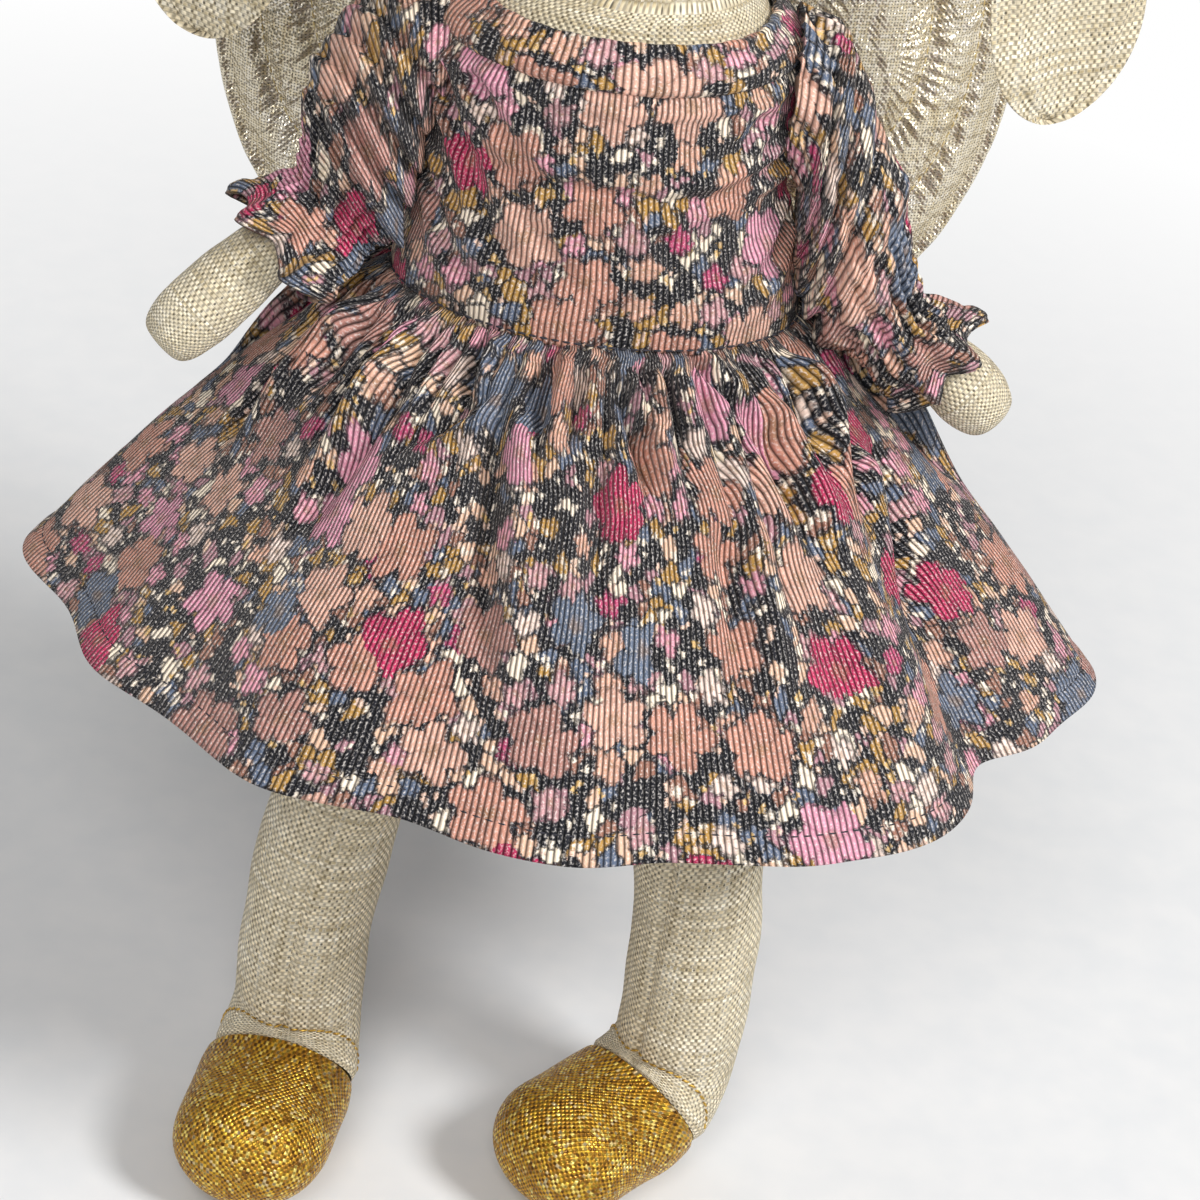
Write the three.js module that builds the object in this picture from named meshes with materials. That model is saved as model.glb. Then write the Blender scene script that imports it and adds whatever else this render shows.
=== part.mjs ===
// A linen plush bunny in a gathered needlecord dress, with quilted fairy wings.
// Millimetres, +Z up, the toy faces -Y, and its own left side is +X.
// The origin is the middle of the flat seat under the torso.
import * as THREE from 'three';

// Cloth and clearances
const LINEN = 1.0;
const CORD_CLOTH = 1.2;
const SEAM_GAP = 0.3;
const DRESS_EASE = 0.5;
const STUFFING_EASE = 0.6;

// Torso
const CHEST_HALF_WIDTH = 33.5;
const HIP_HALF_WIDTH = 38.5;
const TORSO_HALF_DEPTH = 25;
const SEAT_HALF_WIDTH = 29;
const SEAT_HALF_DEPTH = 20;
const SEAT_CENTRE_Y = 2;
const SEAT_APEX_Y = -3;
const WAIST_HEIGHT = 38;
const CHEST_HEIGHT = 66;
const SHOULDER_HEIGHT = 89;
const SHOULDER_ROUND = 8;
const SHOULDER_SLOPE = 6;
const SHOULDER_SLOPE_DEPTH = 2;
const SHOULDER_FALL = 3;
const NECK_HALF_WIDTH = 21;
const NECK_HALF_DEPTH = 19.5;
const NECK_HEIGHT = 105;
const NECK_BALL = 17;
const NECK_PIVOT_HEIGHT = 110;
const NECK_MOUTH = 7;
const BOTTOM_ROUND = 12;

// Head
const HEAD_HALF_WIDTH = 46;
const HEAD_HALF_DEPTH = 40;
const HEAD_HALF_HEIGHT = 45;
const HEAD_RISE = 51;
const EYE_RADIUS = 3.2;
const EYE_DEPTH = 1.6;
const EYE_TURN = 26;
const EYE_LIFT = 6;
const NOSE_HALF_WIDTH = 4.5;
const NOSE_HALF_HEIGHT = 3;
const NOSE_DEPTH = 1.3;
const NOSE_DROP = 9;
const FACET_SINK = 0.75;

// Ears
const EAR_WIDTH = 36;
const EAR_ROOT_WIDTH = 17;
const EAR_TIP_WIDTH = 15;
const EAR_LAYER = 1.7;
const EAR_ROOT_X = 23;
const EAR_REACH = 59;
const EAR_TIP_HEIGHT = { left: 84, right: 80 };
const EAR_TIP_TURN = 62;

// Arms and sleeves: points are [outwards, upwards] from the shoulder, before the arm swings forward
const ARM_PIVOT_HEIGHT = 87;
const ARM_SWING = { left: 8, right: 22 };
const ARM_ROOT_THICKNESS = 2;
const ARM_ROOT_WIDTH = 6;
const ARM_RADIUS = 7.2;
const WRIST_RADIUS = 5.8;
const HAND_RADIUS = 7.6;
const HAND_TIP = { left: [47, -65], right: [47, -66] };
const SLEEVE_OVER = {
  left: [[0, 13], [8, 5], [17, -20], [29, -42]],
  right: [[0, 13], [17, 8], [25, -12], [25, -30]],
};
const SLEEVE_UNDER = {
  left: [[0, -14], [1.5, -30], [6, -48], [20, -58]],
  right: [[0, -14], [3, -26], [4, -38], [10.5, -45]],
};
const FRILL_MOUTH = {
  left: { over: [40.5, -47], under: [29, -64] },
  right: { over: [36, -36], under: [19.5, -54] },
};
const SLEEVE_PUFF = 14;
const CUFF_HALF_WIDTH = 9.5;
const FRILL_HALF_WIDTH = 12;
const FRILL_FLUTES = 5;
const FRILL_FLUTE_DEPTH = 0.8;
const ELASTIC_THICKNESS = 1;
const ELASTIC_WIDTH = 3;

// Legs and feet
const LEG_RADIUS = 14;
const LEG_FLAT = 1.7;
const LEG_SWELL = 27;
const THIGH_SHARE = 0.3;
const KNEE_SHARE = 0.5;
const LEG_TWIST_SPAN = [0.2, 0.95];
const HIP_X = 23.5;
const HIP_Y = -18;
const HIP_SEAM_RADIUS = 1.4;
const KNEE_X = 44;
const ANKLE_X = 42;
const SOLE_HEIGHT = -166;
const FOOT_HALF_WIDTH = 17;
const FOOT_LENGTH = 60;
const FOOT_TURN = { left: -45, right: -12 };
const ANKLE_BEND = 16;
const TOE_SEAM_TURN = 62;
const TOE_ROUND = 16;
const TOE_BLUNTNESS = 0.7;

// Dress
const NECKBAND_WIDTH = 11;
const NECKLINE_FRONT = 101;
const NECKLINE_BACK = 105;
const HEM_HEIGHT = -40;
const HEM_HALF_WIDTH = 107;
const HEM_HALF_DEPTH = 84;
const SKIRT_BELL = 0.86;
const FOLD_COUNT = 12;
const FOLD_DEPTH = 2;
const SLOW_FOLD_COUNT = 5;
const SLOW_FOLD_DEPTH = 1.4;
const FOLD_ONSET = 1.2;
const SKIRT_SWAY = { reach: 3, turn: 60 };
const SKIRT_THICKNESS = 1.6;
const STUD_RADIUS = 3.5;
const STUD_THICKNESS = 1.2;
const STUD_SPACING = 30;

// Wings
const WING_CLOTH = 0.8;
const WING_WADDING = 2.2;
const WING_SPAN = 80;
const WING_TOP = 140;
const WING_BOTTOM = 17;
const WING_ROOT_LOW = 48;
const WING_ROOT_HIGH = 84;
const WING_ROOT_X = 6;
const WING_SWEEP = 15;
const PATCH_HALF_WIDTH = 10;
const PATCH_HALF_HEIGHT = 21;
const PATCH_THICKNESS = 1.2;

const SIDES = ['left', 'right'];
const outwards = { left: 1, right: -1 };
const rad = THREE.MathUtils.degToRad;
const lerp = THREE.MathUtils.lerp;
const smooth = THREE.MathUtils.smoothstep;
const QUARTER_TURN = Math.PI / 2;
const FULL_TURN = Math.PI * 2;

const linen = { color: 0xc9bca1, roughness: 0.95 };
const lining = { color: 0xd8cdb5, roughness: 0.95 };
const fibre = { color: 0xf2efe8, roughness: 1 };
const needlecord = { color: 0x5a4450, roughness: 0.9 };
const lurex = { color: 0xb8862b, roughness: 0.4, metalness: 0.7 };
const lame = { color: 0xcfc29a, roughness: 0.45, metalness: 0.5 };
const bead = { color: 0x15120f, roughness: 0.2 };
const embroidery = { color: 0x8a5f55, roughness: 0.7 };
const rubber = { color: 0xf4f1ea, roughness: 0.8 };
const steel = { color: 0xb9bcc0, roughness: 0.3, metalness: 0.9 };

const bunny = new THREE.Group();

function addPiece(parent, name, geometry, finish) {
  const mesh = new THREE.Mesh(geometry, new THREE.MeshStandardMaterial(finish));
  mesh.name = name;
  parent.add(mesh);
  return mesh;
}

// Turns the faces outwards where the rows were listed the other way round.
function facingOut(positions, index) {
  const at = (i) => new THREE.Vector3().fromArray(positions, 3 * i);
  let volume = 0;
  for (let i = 0; i < index.length; i += 3) {
    volume += at(index[i]).dot(at(index[i + 1]).cross(at(index[i + 2])));
  }
  const geometry = new THREE.BufferGeometry();
  geometry.setAttribute('position', new THREE.Float32BufferAttribute(positions, 3));
  geometry.setIndex(volume > 0 ? index : index.reverse());
  geometry.computeVertexNormals();
  return geometry;
}

// Joins neighbouring rows: each row is a ring of points, or one point that closes an end.
function stitchRows(rows, start, index, from, to) {
  const near = rows[from];
  const far = rows[to];
  const count = Math.max(near.length, far.length);
  for (let i = 0; i < count; i += 1) {
    const j = (i + 1) % count;
    if (near.length === 1) {
      index.push(start[from], start[to] + j, start[to] + i);
    } else if (far.length === 1) {
      index.push(start[from] + i, start[from] + j, start[to]);
    } else {
      index.push(start[from] + i, start[from] + j, start[to] + j);
      index.push(start[from] + i, start[to] + j, start[to] + i);
    }
  }
}

function listRows(rows) {
  const positions = [];
  const start = [];
  for (const row of rows) {
    start.push(positions.length / 3);
    row.forEach((point) => positions.push(point.x, point.y, point.z));
  }
  return { positions, start };
}

// A body from its first row to its last, each of which is a single point.
function loft(rows) {
  const { positions, start } = listRows(rows);
  const index = [];
  for (let r = 0; r < rows.length - 1; r += 1) {
    stitchRows(rows, start, index, r, r + 1);
  }
  return facingOut(positions, index);
}

// A hoop: the last row joins the first again.
function hoop(rows) {
  const { positions, start } = listRows(rows);
  const index = [];
  for (let r = 0; r < rows.length; r += 1) {
    stitchRows(rows, start, index, r, (r + 1) % rows.length);
  }
  return facingOut(positions, index);
}

// A panel of cloth between an outer and an inner grid of points.
function panel(outer, inner) {
  const loops = outer.map((row, r) => [...row, ...[...inner[r]].reverse()]);
  const { positions, start } = listRows(loops);
  const index = [];
  for (let r = 0; r < loops.length - 1; r += 1) {
    stitchRows(loops, start, index, r, r + 1);
  }
  const last = loops[0].length - 1;
  const end = start[loops.length - 1];
  for (let c = 0; c < outer[0].length - 1; c += 1) {
    index.push(c, last - c, last - c - 1, c, last - c - 1, c + 1);
    index.push(end + c, end + c + 1, end + last - c - 1, end + c, end + last - c - 1, end + last - c);
  }
  return facingOut(positions, index);
}

function grid(rowCount, columnCount, place) {
  const rows = [];
  for (let r = 0; r <= rowCount; r += 1) {
    const row = [];
    for (let c = 0; c <= columnCount; c += 1) {
      row.push(place(r / rowCount, c / columnCount));
    }
    rows.push(row);
  }
  return rows;
}

// One cross-section: a centre, two unit directions and a half-size along each.
function section(centre, across, through, halfWidth, halfDepth) {
  return { centre, across, through, halfWidth, halfDepth };
}

function ring(cut, inset, sides) {
  const points = [];
  for (let i = 0; i < sides; i += 1) {
    const angle = ((i + 1 / 2) / sides) * FULL_TURN;
    const point = cut.centre.clone();
    point.addScaledVector(cut.across, (cut.halfWidth - inset) * Math.cos(angle));
    point.addScaledVector(cut.through, (cut.halfDepth - inset) * Math.sin(angle));
    points.push(point);
  }
  return points;
}

const X_AXIS = new THREE.Vector3(1, 0, 0);
const Y_AXIS = new THREE.Vector3(0, 1, 0);
const UP = new THREE.Vector3(0, 0, 1);

function level(halfWidth, halfDepth, height, centreY = 0) {
  return section(new THREE.Vector3(0, centreY, height), X_AXIS, Y_AXIS, halfWidth, halfDepth);
}

// Torso: a bag with a flat seat and a ball at the neck, open on top where it is stuffed.
const TORSO_SIDES = 20;
const BOTTOM_STEPS = 4;
const SIDE_STEPS = 9;
const BALL_STEPS = 3;
const SIDE_LENGTH = SHOULDER_HEIGHT - BOTTOM_ROUND;
const shoulderCurve = new THREE.CubicBezierCurve3(
  new THREE.Vector3(CHEST_HALF_WIDTH, TORSO_HALF_DEPTH, SHOULDER_HEIGHT),
  new THREE.Vector3(CHEST_HALF_WIDTH, TORSO_HALF_DEPTH, SHOULDER_HEIGHT + SHOULDER_ROUND),
  new THREE.Vector3(
    NECK_HALF_WIDTH + SHOULDER_SLOPE,
    NECK_HALF_DEPTH + SHOULDER_SLOPE_DEPTH,
    NECK_HEIGHT - SHOULDER_FALL,
  ),
  new THREE.Vector3(NECK_HALF_WIDTH, NECK_HALF_DEPTH, NECK_HEIGHT),
);
const PROFILE_LENGTH = SIDE_LENGTH + shoulderCurve.getLength();

// Half-width, half-depth and height at a length up the torso's side, from the bottom rounding.
function torsoAt(length) {
  if (length > SIDE_LENGTH) {
    const share = (length - SIDE_LENGTH) / (PROFILE_LENGTH - SIDE_LENGTH);
    return shoulderCurve.getPointAt(Math.min(1, share));
  }
  const height = BOTTOM_ROUND + length;
  const narrowing = smooth(height, WAIST_HEIGHT, CHEST_HEIGHT);
  return new THREE.Vector3(lerp(HIP_HALF_WIDTH, CHEST_HALF_WIDTH, narrowing), TORSO_HALF_DEPTH, height);
}

const WAIST_LENGTH = WAIST_HEIGHT - BOTTOM_ROUND;

// The torso's sections from the seat to the neck mouth, inside its outer face by the inset.
function torsoSections(inset) {
  const cuts = [];
  for (let i = 0; i < BOTTOM_STEPS; i += 1) {
    const angle = (i / BOTTOM_STEPS) * QUARTER_TURN;
    const grow = Math.sin(angle);
    cuts.push(level(
      lerp(SEAT_HALF_WIDTH, HIP_HALF_WIDTH, grow) - inset,
      lerp(SEAT_HALF_DEPTH, TORSO_HALF_DEPTH, grow) - inset,
      lerp(inset, BOTTOM_ROUND, 1 - Math.cos(angle)),
      SEAT_CENTRE_Y * (1 - grow),
    ));
  }
  for (let i = 0; i <= SIDE_STEPS; i += 1) {
    const cut = torsoAt((i / SIDE_STEPS) * PROFILE_LENGTH);
    cuts.push(level(cut.x - inset, cut.y - inset, cut.z));
  }
  const ball = NECK_BALL - inset;
  const mouthAngle = Math.asin(NECK_MOUTH / ball);
  for (let i = 0; i <= BALL_STEPS; i += 1) {
    const angle = lerp(QUARTER_TURN, mouthAngle, i / BALL_STEPS);
    const radius = ball * Math.sin(angle);
    cuts.push(level(radius, radius, NECK_PIVOT_HEIGHT + ball * Math.cos(angle)));
  }
  return cuts;
}

function bagRows(cuts, sides, pole, innerPole, inset) {
  const outer = cuts.map((cut) => ring(cut, 0, sides));
  const inner = cuts.map((cut) => ring(cut, inset, sides)).reverse();
  return [[pole], ...outer, ...inner, [innerPole]];
}

{
  const rings = (inset) => torsoSections(inset).map((cut) => ring(cut, 0, TORSO_SIDES));
  const seatApex = (inset) => new THREE.Vector3(0, SEAT_APEX_Y, inset);
  const skin = loft([[seatApex(0)], ...rings(0), ...rings(LINEN).reverse(), [seatApex(LINEN)]]);
  addPiece(bunny, 'torso_skin', skin, linen);

  const inset = LINEN + STUFFING_EASE;
  const neckTop = new THREE.Vector3(0, 0, NECK_PIVOT_HEIGHT + NECK_BALL - inset);
  addPiece(bunny, 'torso_stuffing', loft([[seatApex(inset)], ...rings(inset), [neckTop]]), fibre);
}

// Head: an egg with a cup below that turns on the neck ball.
const HEAD_SIDES = 18;
const HEAD_CENTRE_HEIGHT = NECK_PIVOT_HEIGHT + HEAD_RISE;
const headGroup = new THREE.Group();
bunny.add(headGroup);

function headCut(polar, inset) {
  const grow = Math.sin(polar);
  return level(
    (HEAD_HALF_WIDTH - inset) * grow,
    (HEAD_HALF_DEPTH - inset) * grow,
    HEAD_CENTRE_HEIGHT + (HEAD_HALF_HEIGHT - inset) * Math.cos(polar),
  );
}

function cupCut(polar, radius) {
  return level(
    radius * Math.sin(polar),
    radius * Math.sin(polar),
    NECK_PIVOT_HEIGHT + radius * Math.cos(polar),
  );
}

const HEAD_ROWS = 7;
const HEAD_LOWEST = 152;
const CUP_ROWS = 2;
const CUP_WIDEST = 55;
const CUP_NARROWEST = 25;
const CUP_SETBACK = 5;
const CUP_RADIUS = NECK_BALL + SEAM_GAP;
function headRings(inset) {
  const rings = [];
  for (let i = 1; i <= HEAD_ROWS; i += 1) {
    rings.push(ring(headCut(rad((i / HEAD_ROWS) * HEAD_LOWEST), inset), 0, HEAD_SIDES));
  }
  return rings;
}

// The cup's rings from its lip to its mouth: the lip draws back where the cup is measured inside the skin.
function cupRings(inset) {
  const rings = [];
  for (let i = 0; i <= CUP_ROWS; i += 1) {
    const polar = rad(lerp(CUP_WIDEST - CUP_SETBACK * inset, CUP_NARROWEST, i / CUP_ROWS));
    rings.push(ring(cupCut(polar, CUP_RADIUS + inset), 0, HEAD_SIDES));
  }
  return rings;
}

function crown(inset) {
  return new THREE.Vector3(0, 0, HEAD_CENTRE_HEIGHT + HEAD_HALF_HEIGHT - inset);
}

{
  const rings = (inset) => [...headRings(inset), ...cupRings(inset)];
  const skin = loft([[crown(0)], ...rings(0), ...rings(LINEN).reverse(), [crown(LINEN)]]);
  addPiece(headGroup, 'head_skin', skin, linen);

  const inset = LINEN + STUFFING_EASE;
  const cupTop = new THREE.Vector3(0, 0, NECK_PIVOT_HEIGHT + CUP_RADIUS + inset);
  addPiece(headGroup, 'head_stuffing', loft([[crown(inset)], ...rings(inset), [cupTop]]), fibre);
}

// A point on the head, and the way out of the head there, for a turn to the left and a lift.
function onHead(turn, lift, standOff) {
  const point = new THREE.Vector3(
    HEAD_HALF_WIDTH * Math.cos(rad(lift)) * Math.sin(rad(turn)),
    -HEAD_HALF_DEPTH * Math.cos(rad(lift)) * Math.cos(rad(turn)),
    HEAD_HALF_HEIGHT * Math.sin(rad(lift)),
  );
  const out = new THREE.Vector3(
    point.x / HEAD_HALF_WIDTH ** 2,
    point.y / HEAD_HALF_DEPTH ** 2,
    point.z / HEAD_HALF_HEIGHT ** 2,
  ).normalize();
  point.z += HEAD_CENTRE_HEIGHT;
  return { point: point.addScaledVector(out, standOff), out };
}

const BUTTON_SIDES = 12;
const BUTTON_ROWS = 6;
function faceButton(name, halfWidth, halfHeight, depth, turn, lift, finish) {
  const geometry = new THREE.SphereGeometry(1, BUTTON_SIDES, BUTTON_ROWS);
  geometry.scale(halfWidth, halfHeight, depth);
  const { point, out } = onHead(turn, lift, depth + SEAM_GAP - FACET_SINK);
  const button = addPiece(headGroup, name, geometry, finish);
  button.position.copy(point);
  button.quaternion.setFromUnitVectors(UP, out);
}

for (const side of SIDES) {
  faceButton(`eye_${side}`, EYE_RADIUS, EYE_RADIUS, EYE_DEPTH, outwards[side] * EYE_TURN, EYE_LIFT, bead);
}
faceButton('nose', NOSE_HALF_WIDTH, NOSE_HALF_HEIGHT, NOSE_DEPTH, 0, -NOSE_DROP, embroidery);

// Ears: a lining and an outer layer that leave the crown sideways and hang with the lining in front.
const EAR_COLUMNS = 4;
const EAR_STEPS = 8;
const EAR_CREST = { reach: 0.62, rise: 0.04 };
const EAR_FALL = { reach: 0.92, drop: 0.42 };
const EAR_TURN_SPAN = [0.1, 0.8];
const EAR_TIP_SPAN = [0.86, 1.03];
const EAR_WIDEST = 0.62;
const EAR_FULLNESS = 0.8;
const EAR_LIFT = EAR_LAYER + SEAM_GAP / 2 + SEAM_GAP - FACET_SINK;
const earRootLift = HEAD_HALF_HEIGHT * Math.sqrt(1 - (EAR_ROOT_X / HEAD_HALF_WIDTH) ** 2);
const EAR_ROOT_HEIGHT = HEAD_CENTRE_HEIGHT + earRootLift + EAR_LIFT;

function earSpine(side) {
  const drop = EAR_ROOT_HEIGHT - EAR_TIP_HEIGHT[side];
  const at = (reach, fall) => new THREE.Vector3(
    outwards[side] * (EAR_ROOT_X + EAR_REACH * reach),
    0,
    EAR_ROOT_HEIGHT - drop * fall,
  );
  return new THREE.CubicBezierCurve3(
    at(0, 0),
    at(EAR_CREST.reach, -EAR_CREST.rise),
    at(EAR_FALL.reach, EAR_FALL.drop),
    at(1, 1),
  );
}

function earWidth(along) {
  const swell = Math.sin(QUARTER_TURN * Math.min(2, along / EAR_WIDEST)) ** EAR_FULLNESS;
  return lerp(lerp(EAR_ROOT_WIDTH, EAR_WIDTH, swell), EAR_TIP_WIDTH, smooth(along, ...EAR_TIP_SPAN));
}

for (const side of SIDES) {
  const out = outwards[side];
  const spine = earSpine(side);
  const earPoint = (along, across, depth) => {
    const heading = spine.getTangent(along);
    const turn = rad(EAR_TIP_TURN * smooth(along, ...EAR_TURN_SPAN));
    const edgeways = new THREE.Vector3(0, -1, 0).applyAxisAngle(heading, out * turn);
    const facing = new THREE.Vector3().crossVectors(edgeways, heading).multiplyScalar(out);
    const point = spine.getPoint(along);
    point.addScaledVector(edgeways, (across - 1 / 2) * earWidth(along));
    return point.addScaledVector(facing, depth);
  };
  const layer = (name, bottom, finish) => {
    const face = (depth) => grid(EAR_STEPS, EAR_COLUMNS, (along, across) => earPoint(along, across, depth));
    addPiece(headGroup, name, panel(face(bottom + EAR_LAYER), face(bottom)), finish);
  };
  layer(`ear_outer_${side}`, SEAM_GAP / 2, linen);
  layer(`ear_lining_${side}`, -SEAM_GAP / 2 - EAR_LAYER, lining);
}

// Dress body: a point on the cloth for an angle from the front and a length up the torso's side.
function onDress(angle, length, standOff) {
  const cut = torsoAt(length);
  return new THREE.Vector3(
    (cut.x + standOff) * Math.sin(angle),
    -(cut.y + standOff) * Math.cos(angle),
    cut.z,
  );
}

const NECKLINE_FRONT_LENGTH = NECKLINE_FRONT - BOTTOM_ROUND;
const NECKLINE_BACK_LENGTH = NECKLINE_BACK - BOTTOM_ROUND;
function necklineAt(angle) {
  return lerp(NECKLINE_FRONT_LENGTH, NECKLINE_BACK_LENGTH, (1 - Math.cos(angle)) / 2);
}

const DRESS_OUTSIDE = DRESS_EASE + CORD_CLOTH;
const WAIST_HALF_WIDTH = HIP_HALF_WIDTH + DRESS_OUTSIDE;
const DRESS_HALF_DEPTH = TORSO_HALF_DEPTH + DRESS_OUTSIDE;
const seamAngle = SEAM_GAP / DRESS_HALF_DEPTH;

function dressPanel(name, from, to, columns, rows, bottom, top) {
  const place = (standOff) => grid(rows, columns, (up, round) => {
    const angle = lerp(from, to, round);
    return onDress(angle, lerp(bottom(angle), top(angle), up), standOff);
  });
  addPiece(bunny, name, panel(place(DRESS_OUTSIDE), place(DRESS_EASE)), needlecord);
}

const BACK_COLUMNS = 7;
const FRONT_COLUMNS = 2 * BACK_COLUMNS;
const BAND_COLUMNS = 2 * FRONT_COLUMNS;
const BODICE_ROWS = 5;
const BAND_ROWS = 2;
const SIDE_SEAM = QUARTER_TURN;
const CLOSING = 2 * QUARTER_TURN - seamAngle;
{
  const waist = () => WAIST_LENGTH;
  const bandSeam = (angle) => necklineAt(angle) - NECKBAND_WIDTH - SEAM_GAP;
  const front = SIDE_SEAM - seamAngle;
  const back = SIDE_SEAM + seamAngle;
  dressPanel('bodice_front', -front, front, FRONT_COLUMNS, BODICE_ROWS, waist, bandSeam);
  dressPanel('bodice_back_left', back, CLOSING, BACK_COLUMNS, BODICE_ROWS, waist, bandSeam);
  dressPanel('bodice_back_right', -back, -CLOSING, BACK_COLUMNS, BODICE_ROWS, waist, bandSeam);
  const bandBottom = (angle) => necklineAt(angle) - NECKBAND_WIDTH;
  dressPanel('neckband', -CLOSING, CLOSING, BAND_COLUMNS, BAND_ROWS, bandBottom, necklineAt);
}

// Press studs on the back closing, one above the other.
const STUD_SIDES = 14;
{
  const middle = (WAIST_LENGTH + NECKLINE_BACK_LENGTH - NECKBAND_WIDTH) / 2;
  [['press_stud_lower', -1], ['press_stud_upper', 1]].forEach(([name, place]) => {
    const stud = new THREE.CylinderGeometry(STUD_RADIUS, STUD_RADIUS, STUD_THICKNESS, STUD_SIDES);
    const mesh = addPiece(bunny, name, stud, steel);
    const seat = onDress(Math.PI, middle + place * STUD_SPACING / 2, DRESS_OUTSIDE);
    mesh.position.set(0, seat.y + SEAM_GAP + STUD_THICKNESS / 2, seat.z);
  });
}

// Folds that stand out from the even ones: the turn from the front and the width in degrees, the depth,
// and how far down it ends. A negative depth is a bulge, and an end past the hem runs through it.
const PAST_HEM = 1.5;
const LONG_FOLDS = [
  { turn: -150, depth: 3, width: 7, end: PAST_HEM },
  { turn: -112, depth: 2.8, width: 7, end: 0.8 },
  { turn: -90, depth: -4, width: 13, end: PAST_HEM },
  { turn: -58, depth: 5.5, width: 18, end: PAST_HEM },
  { turn: -14, depth: 3.6, width: 5, end: 0.95 },
  { turn: 38, depth: 3, width: 5, end: 0.95 },
  { turn: 44, depth: -7, width: 9, end: PAST_HEM },
  { turn: 60, depth: 9, width: 7, end: PAST_HEM },
  { turn: 84, depth: -4.5, width: 12, end: PAST_HEM },
  { turn: 128, depth: 2.6, width: 7, end: 0.9 },
  { turn: 160, depth: 3.2, width: 7, end: PAST_HEM },
];
const LONG_FOLD_ONSET = [0.02, 0.7];
const LONG_FOLD_FADE = 0.35;
function longFolds(angle, down) {
  let depth = 0;
  for (const fold of LONG_FOLDS) {
    const off = angle - rad(fold.turn);
    const turned = Math.atan2(Math.sin(off), Math.cos(off)) / rad(fold.width);
    const fade = 1 - smooth(down, fold.end - LONG_FOLD_FADE, fold.end);
    depth += fold.depth * Math.exp(-(turned ** 2)) * fade;
  }
  return depth * smooth(down, ...LONG_FOLD_ONSET);
}

// Skirt: gathered at the waist and flared to the hem, in folds that deepen downwards.
const SKIRT_TOP = WAIST_HEIGHT - SEAM_GAP;
function onSkirt(angle, down, inset) {
  const flare = down ** SKIRT_BELL;
  const quick = FOLD_DEPTH * Math.cos(FOLD_COUNT * angle);
  const slow = SLOW_FOLD_DEPTH * Math.sin(SLOW_FOLD_COUNT * angle);
  const sway = SKIRT_SWAY.reach * Math.cos(angle - rad(SKIRT_SWAY.turn)) * down;
  const fold = (quick + slow) * down ** FOLD_ONSET + sway - longFolds(angle, down);
  const halfWidth = lerp(WAIST_HALF_WIDTH, HEM_HALF_WIDTH, flare) + fold - inset;
  const halfDepth = lerp(DRESS_HALF_DEPTH, HEM_HALF_DEPTH, flare) + fold - inset;
  return new THREE.Vector3(
    halfWidth * Math.sin(angle),
    -halfDepth * Math.cos(angle),
    lerp(SKIRT_TOP, HEM_HEIGHT, down),
  );
}

const SKIRT_COLUMNS = 44;
const SKIRT_ROWS = 6;
{
  const halves = [['skirt_front', -SIDE_SEAM], ['skirt_back', SIDE_SEAM]];
  halves.forEach(([name, from]) => {
    const to = from + FULL_TURN / 2;
    const side = (inset) => grid(SKIRT_ROWS, SKIRT_COLUMNS, (down, round) => (
      onSkirt(lerp(from + seamAngle, to - seamAngle, round), down, inset)
    ));
    addPiece(bunny, name, panel(side(0), side(SKIRT_THICKNESS)), needlecord);
  });
}

// Sleeves: rings between an upper and a lower edge line, from the armhole to the cuff and the frill's mouth.
const SLEEVE_SIDES = FRILL_FLUTES * 4;
const SLEEVE_ROWS = 7;
const FRILL_ROWS = 3;
const ARM_ROOT_X = CHEST_HALF_WIDTH + DRESS_OUTSIDE + SEAM_GAP;

function armPoint(side, [outward, upward]) {
  return new THREE.Vector3(outwards[side] * outward, 0, upward);
}

function sleeveEdge(side, points) {
  return new THREE.CubicBezierCurve3(...points.map((point) => armPoint(side, point)));
}

// The ring at a share of the way to the cuff, or past it at a share of the frill.
function sleeveCut(side, toCuff, toMouth) {
  const over = sleeveEdge(side, SLEEVE_OVER[side]).getPoint(toCuff);
  const under = sleeveEdge(side, SLEEVE_UNDER[side]).getPoint(toCuff);
  over.lerp(armPoint(side, FRILL_MOUTH[side].over), toMouth);
  under.lerp(armPoint(side, FRILL_MOUTH[side].under), toMouth);
  const through = over.clone().sub(under);
  const halfDepth = through.length() / 2;
  const drawn = lerp(SLEEVE_PUFF, CUFF_HALF_WIDTH, smooth(toCuff, 0, 1));
  const halfWidth = lerp(drawn, FRILL_HALF_WIDTH, toMouth);
  return section(over.lerp(under, 1 / 2), Y_AXIS, through.normalize(), halfWidth, halfDepth);
}

function sleeveRing(side, toCuff, toMouth, inset) {
  const cut = sleeveCut(side, toCuff, toMouth);
  const flute = FRILL_FLUTE_DEPTH * toMouth;
  const points = [];
  for (let i = 0; i < SLEEVE_SIDES; i += 1) {
    const angle = (i / SLEEVE_SIDES) * FULL_TURN;
    const swell = flute * Math.cos(FRILL_FLUTES * angle) - inset;
    const point = cut.centre.clone();
    point.addScaledVector(cut.across, (cut.halfWidth + swell) * Math.cos(angle));
    point.addScaledVector(cut.through, (cut.halfDepth + swell) * Math.sin(angle));
    points.push(point);
  }
  return points;
}

// Arms: they start flat at the shoulder, follow the middle of the sleeve and end in a blunt hand.
const ARM_SIDES = 12;
const ARM_STEPS = 9;
const HAND_STEPS = 3;
const HAND_ROUND = 0.12;
const HAND_BLUNTNESS = 0.8;
const UPPER_ARM_SPAN = [0.08, 0.5];
const HAND_LENGTH_SHARE = 0.7;
const SLEEVE_STATIONS = [1 / 3, 2 / 3, 1];

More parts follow.
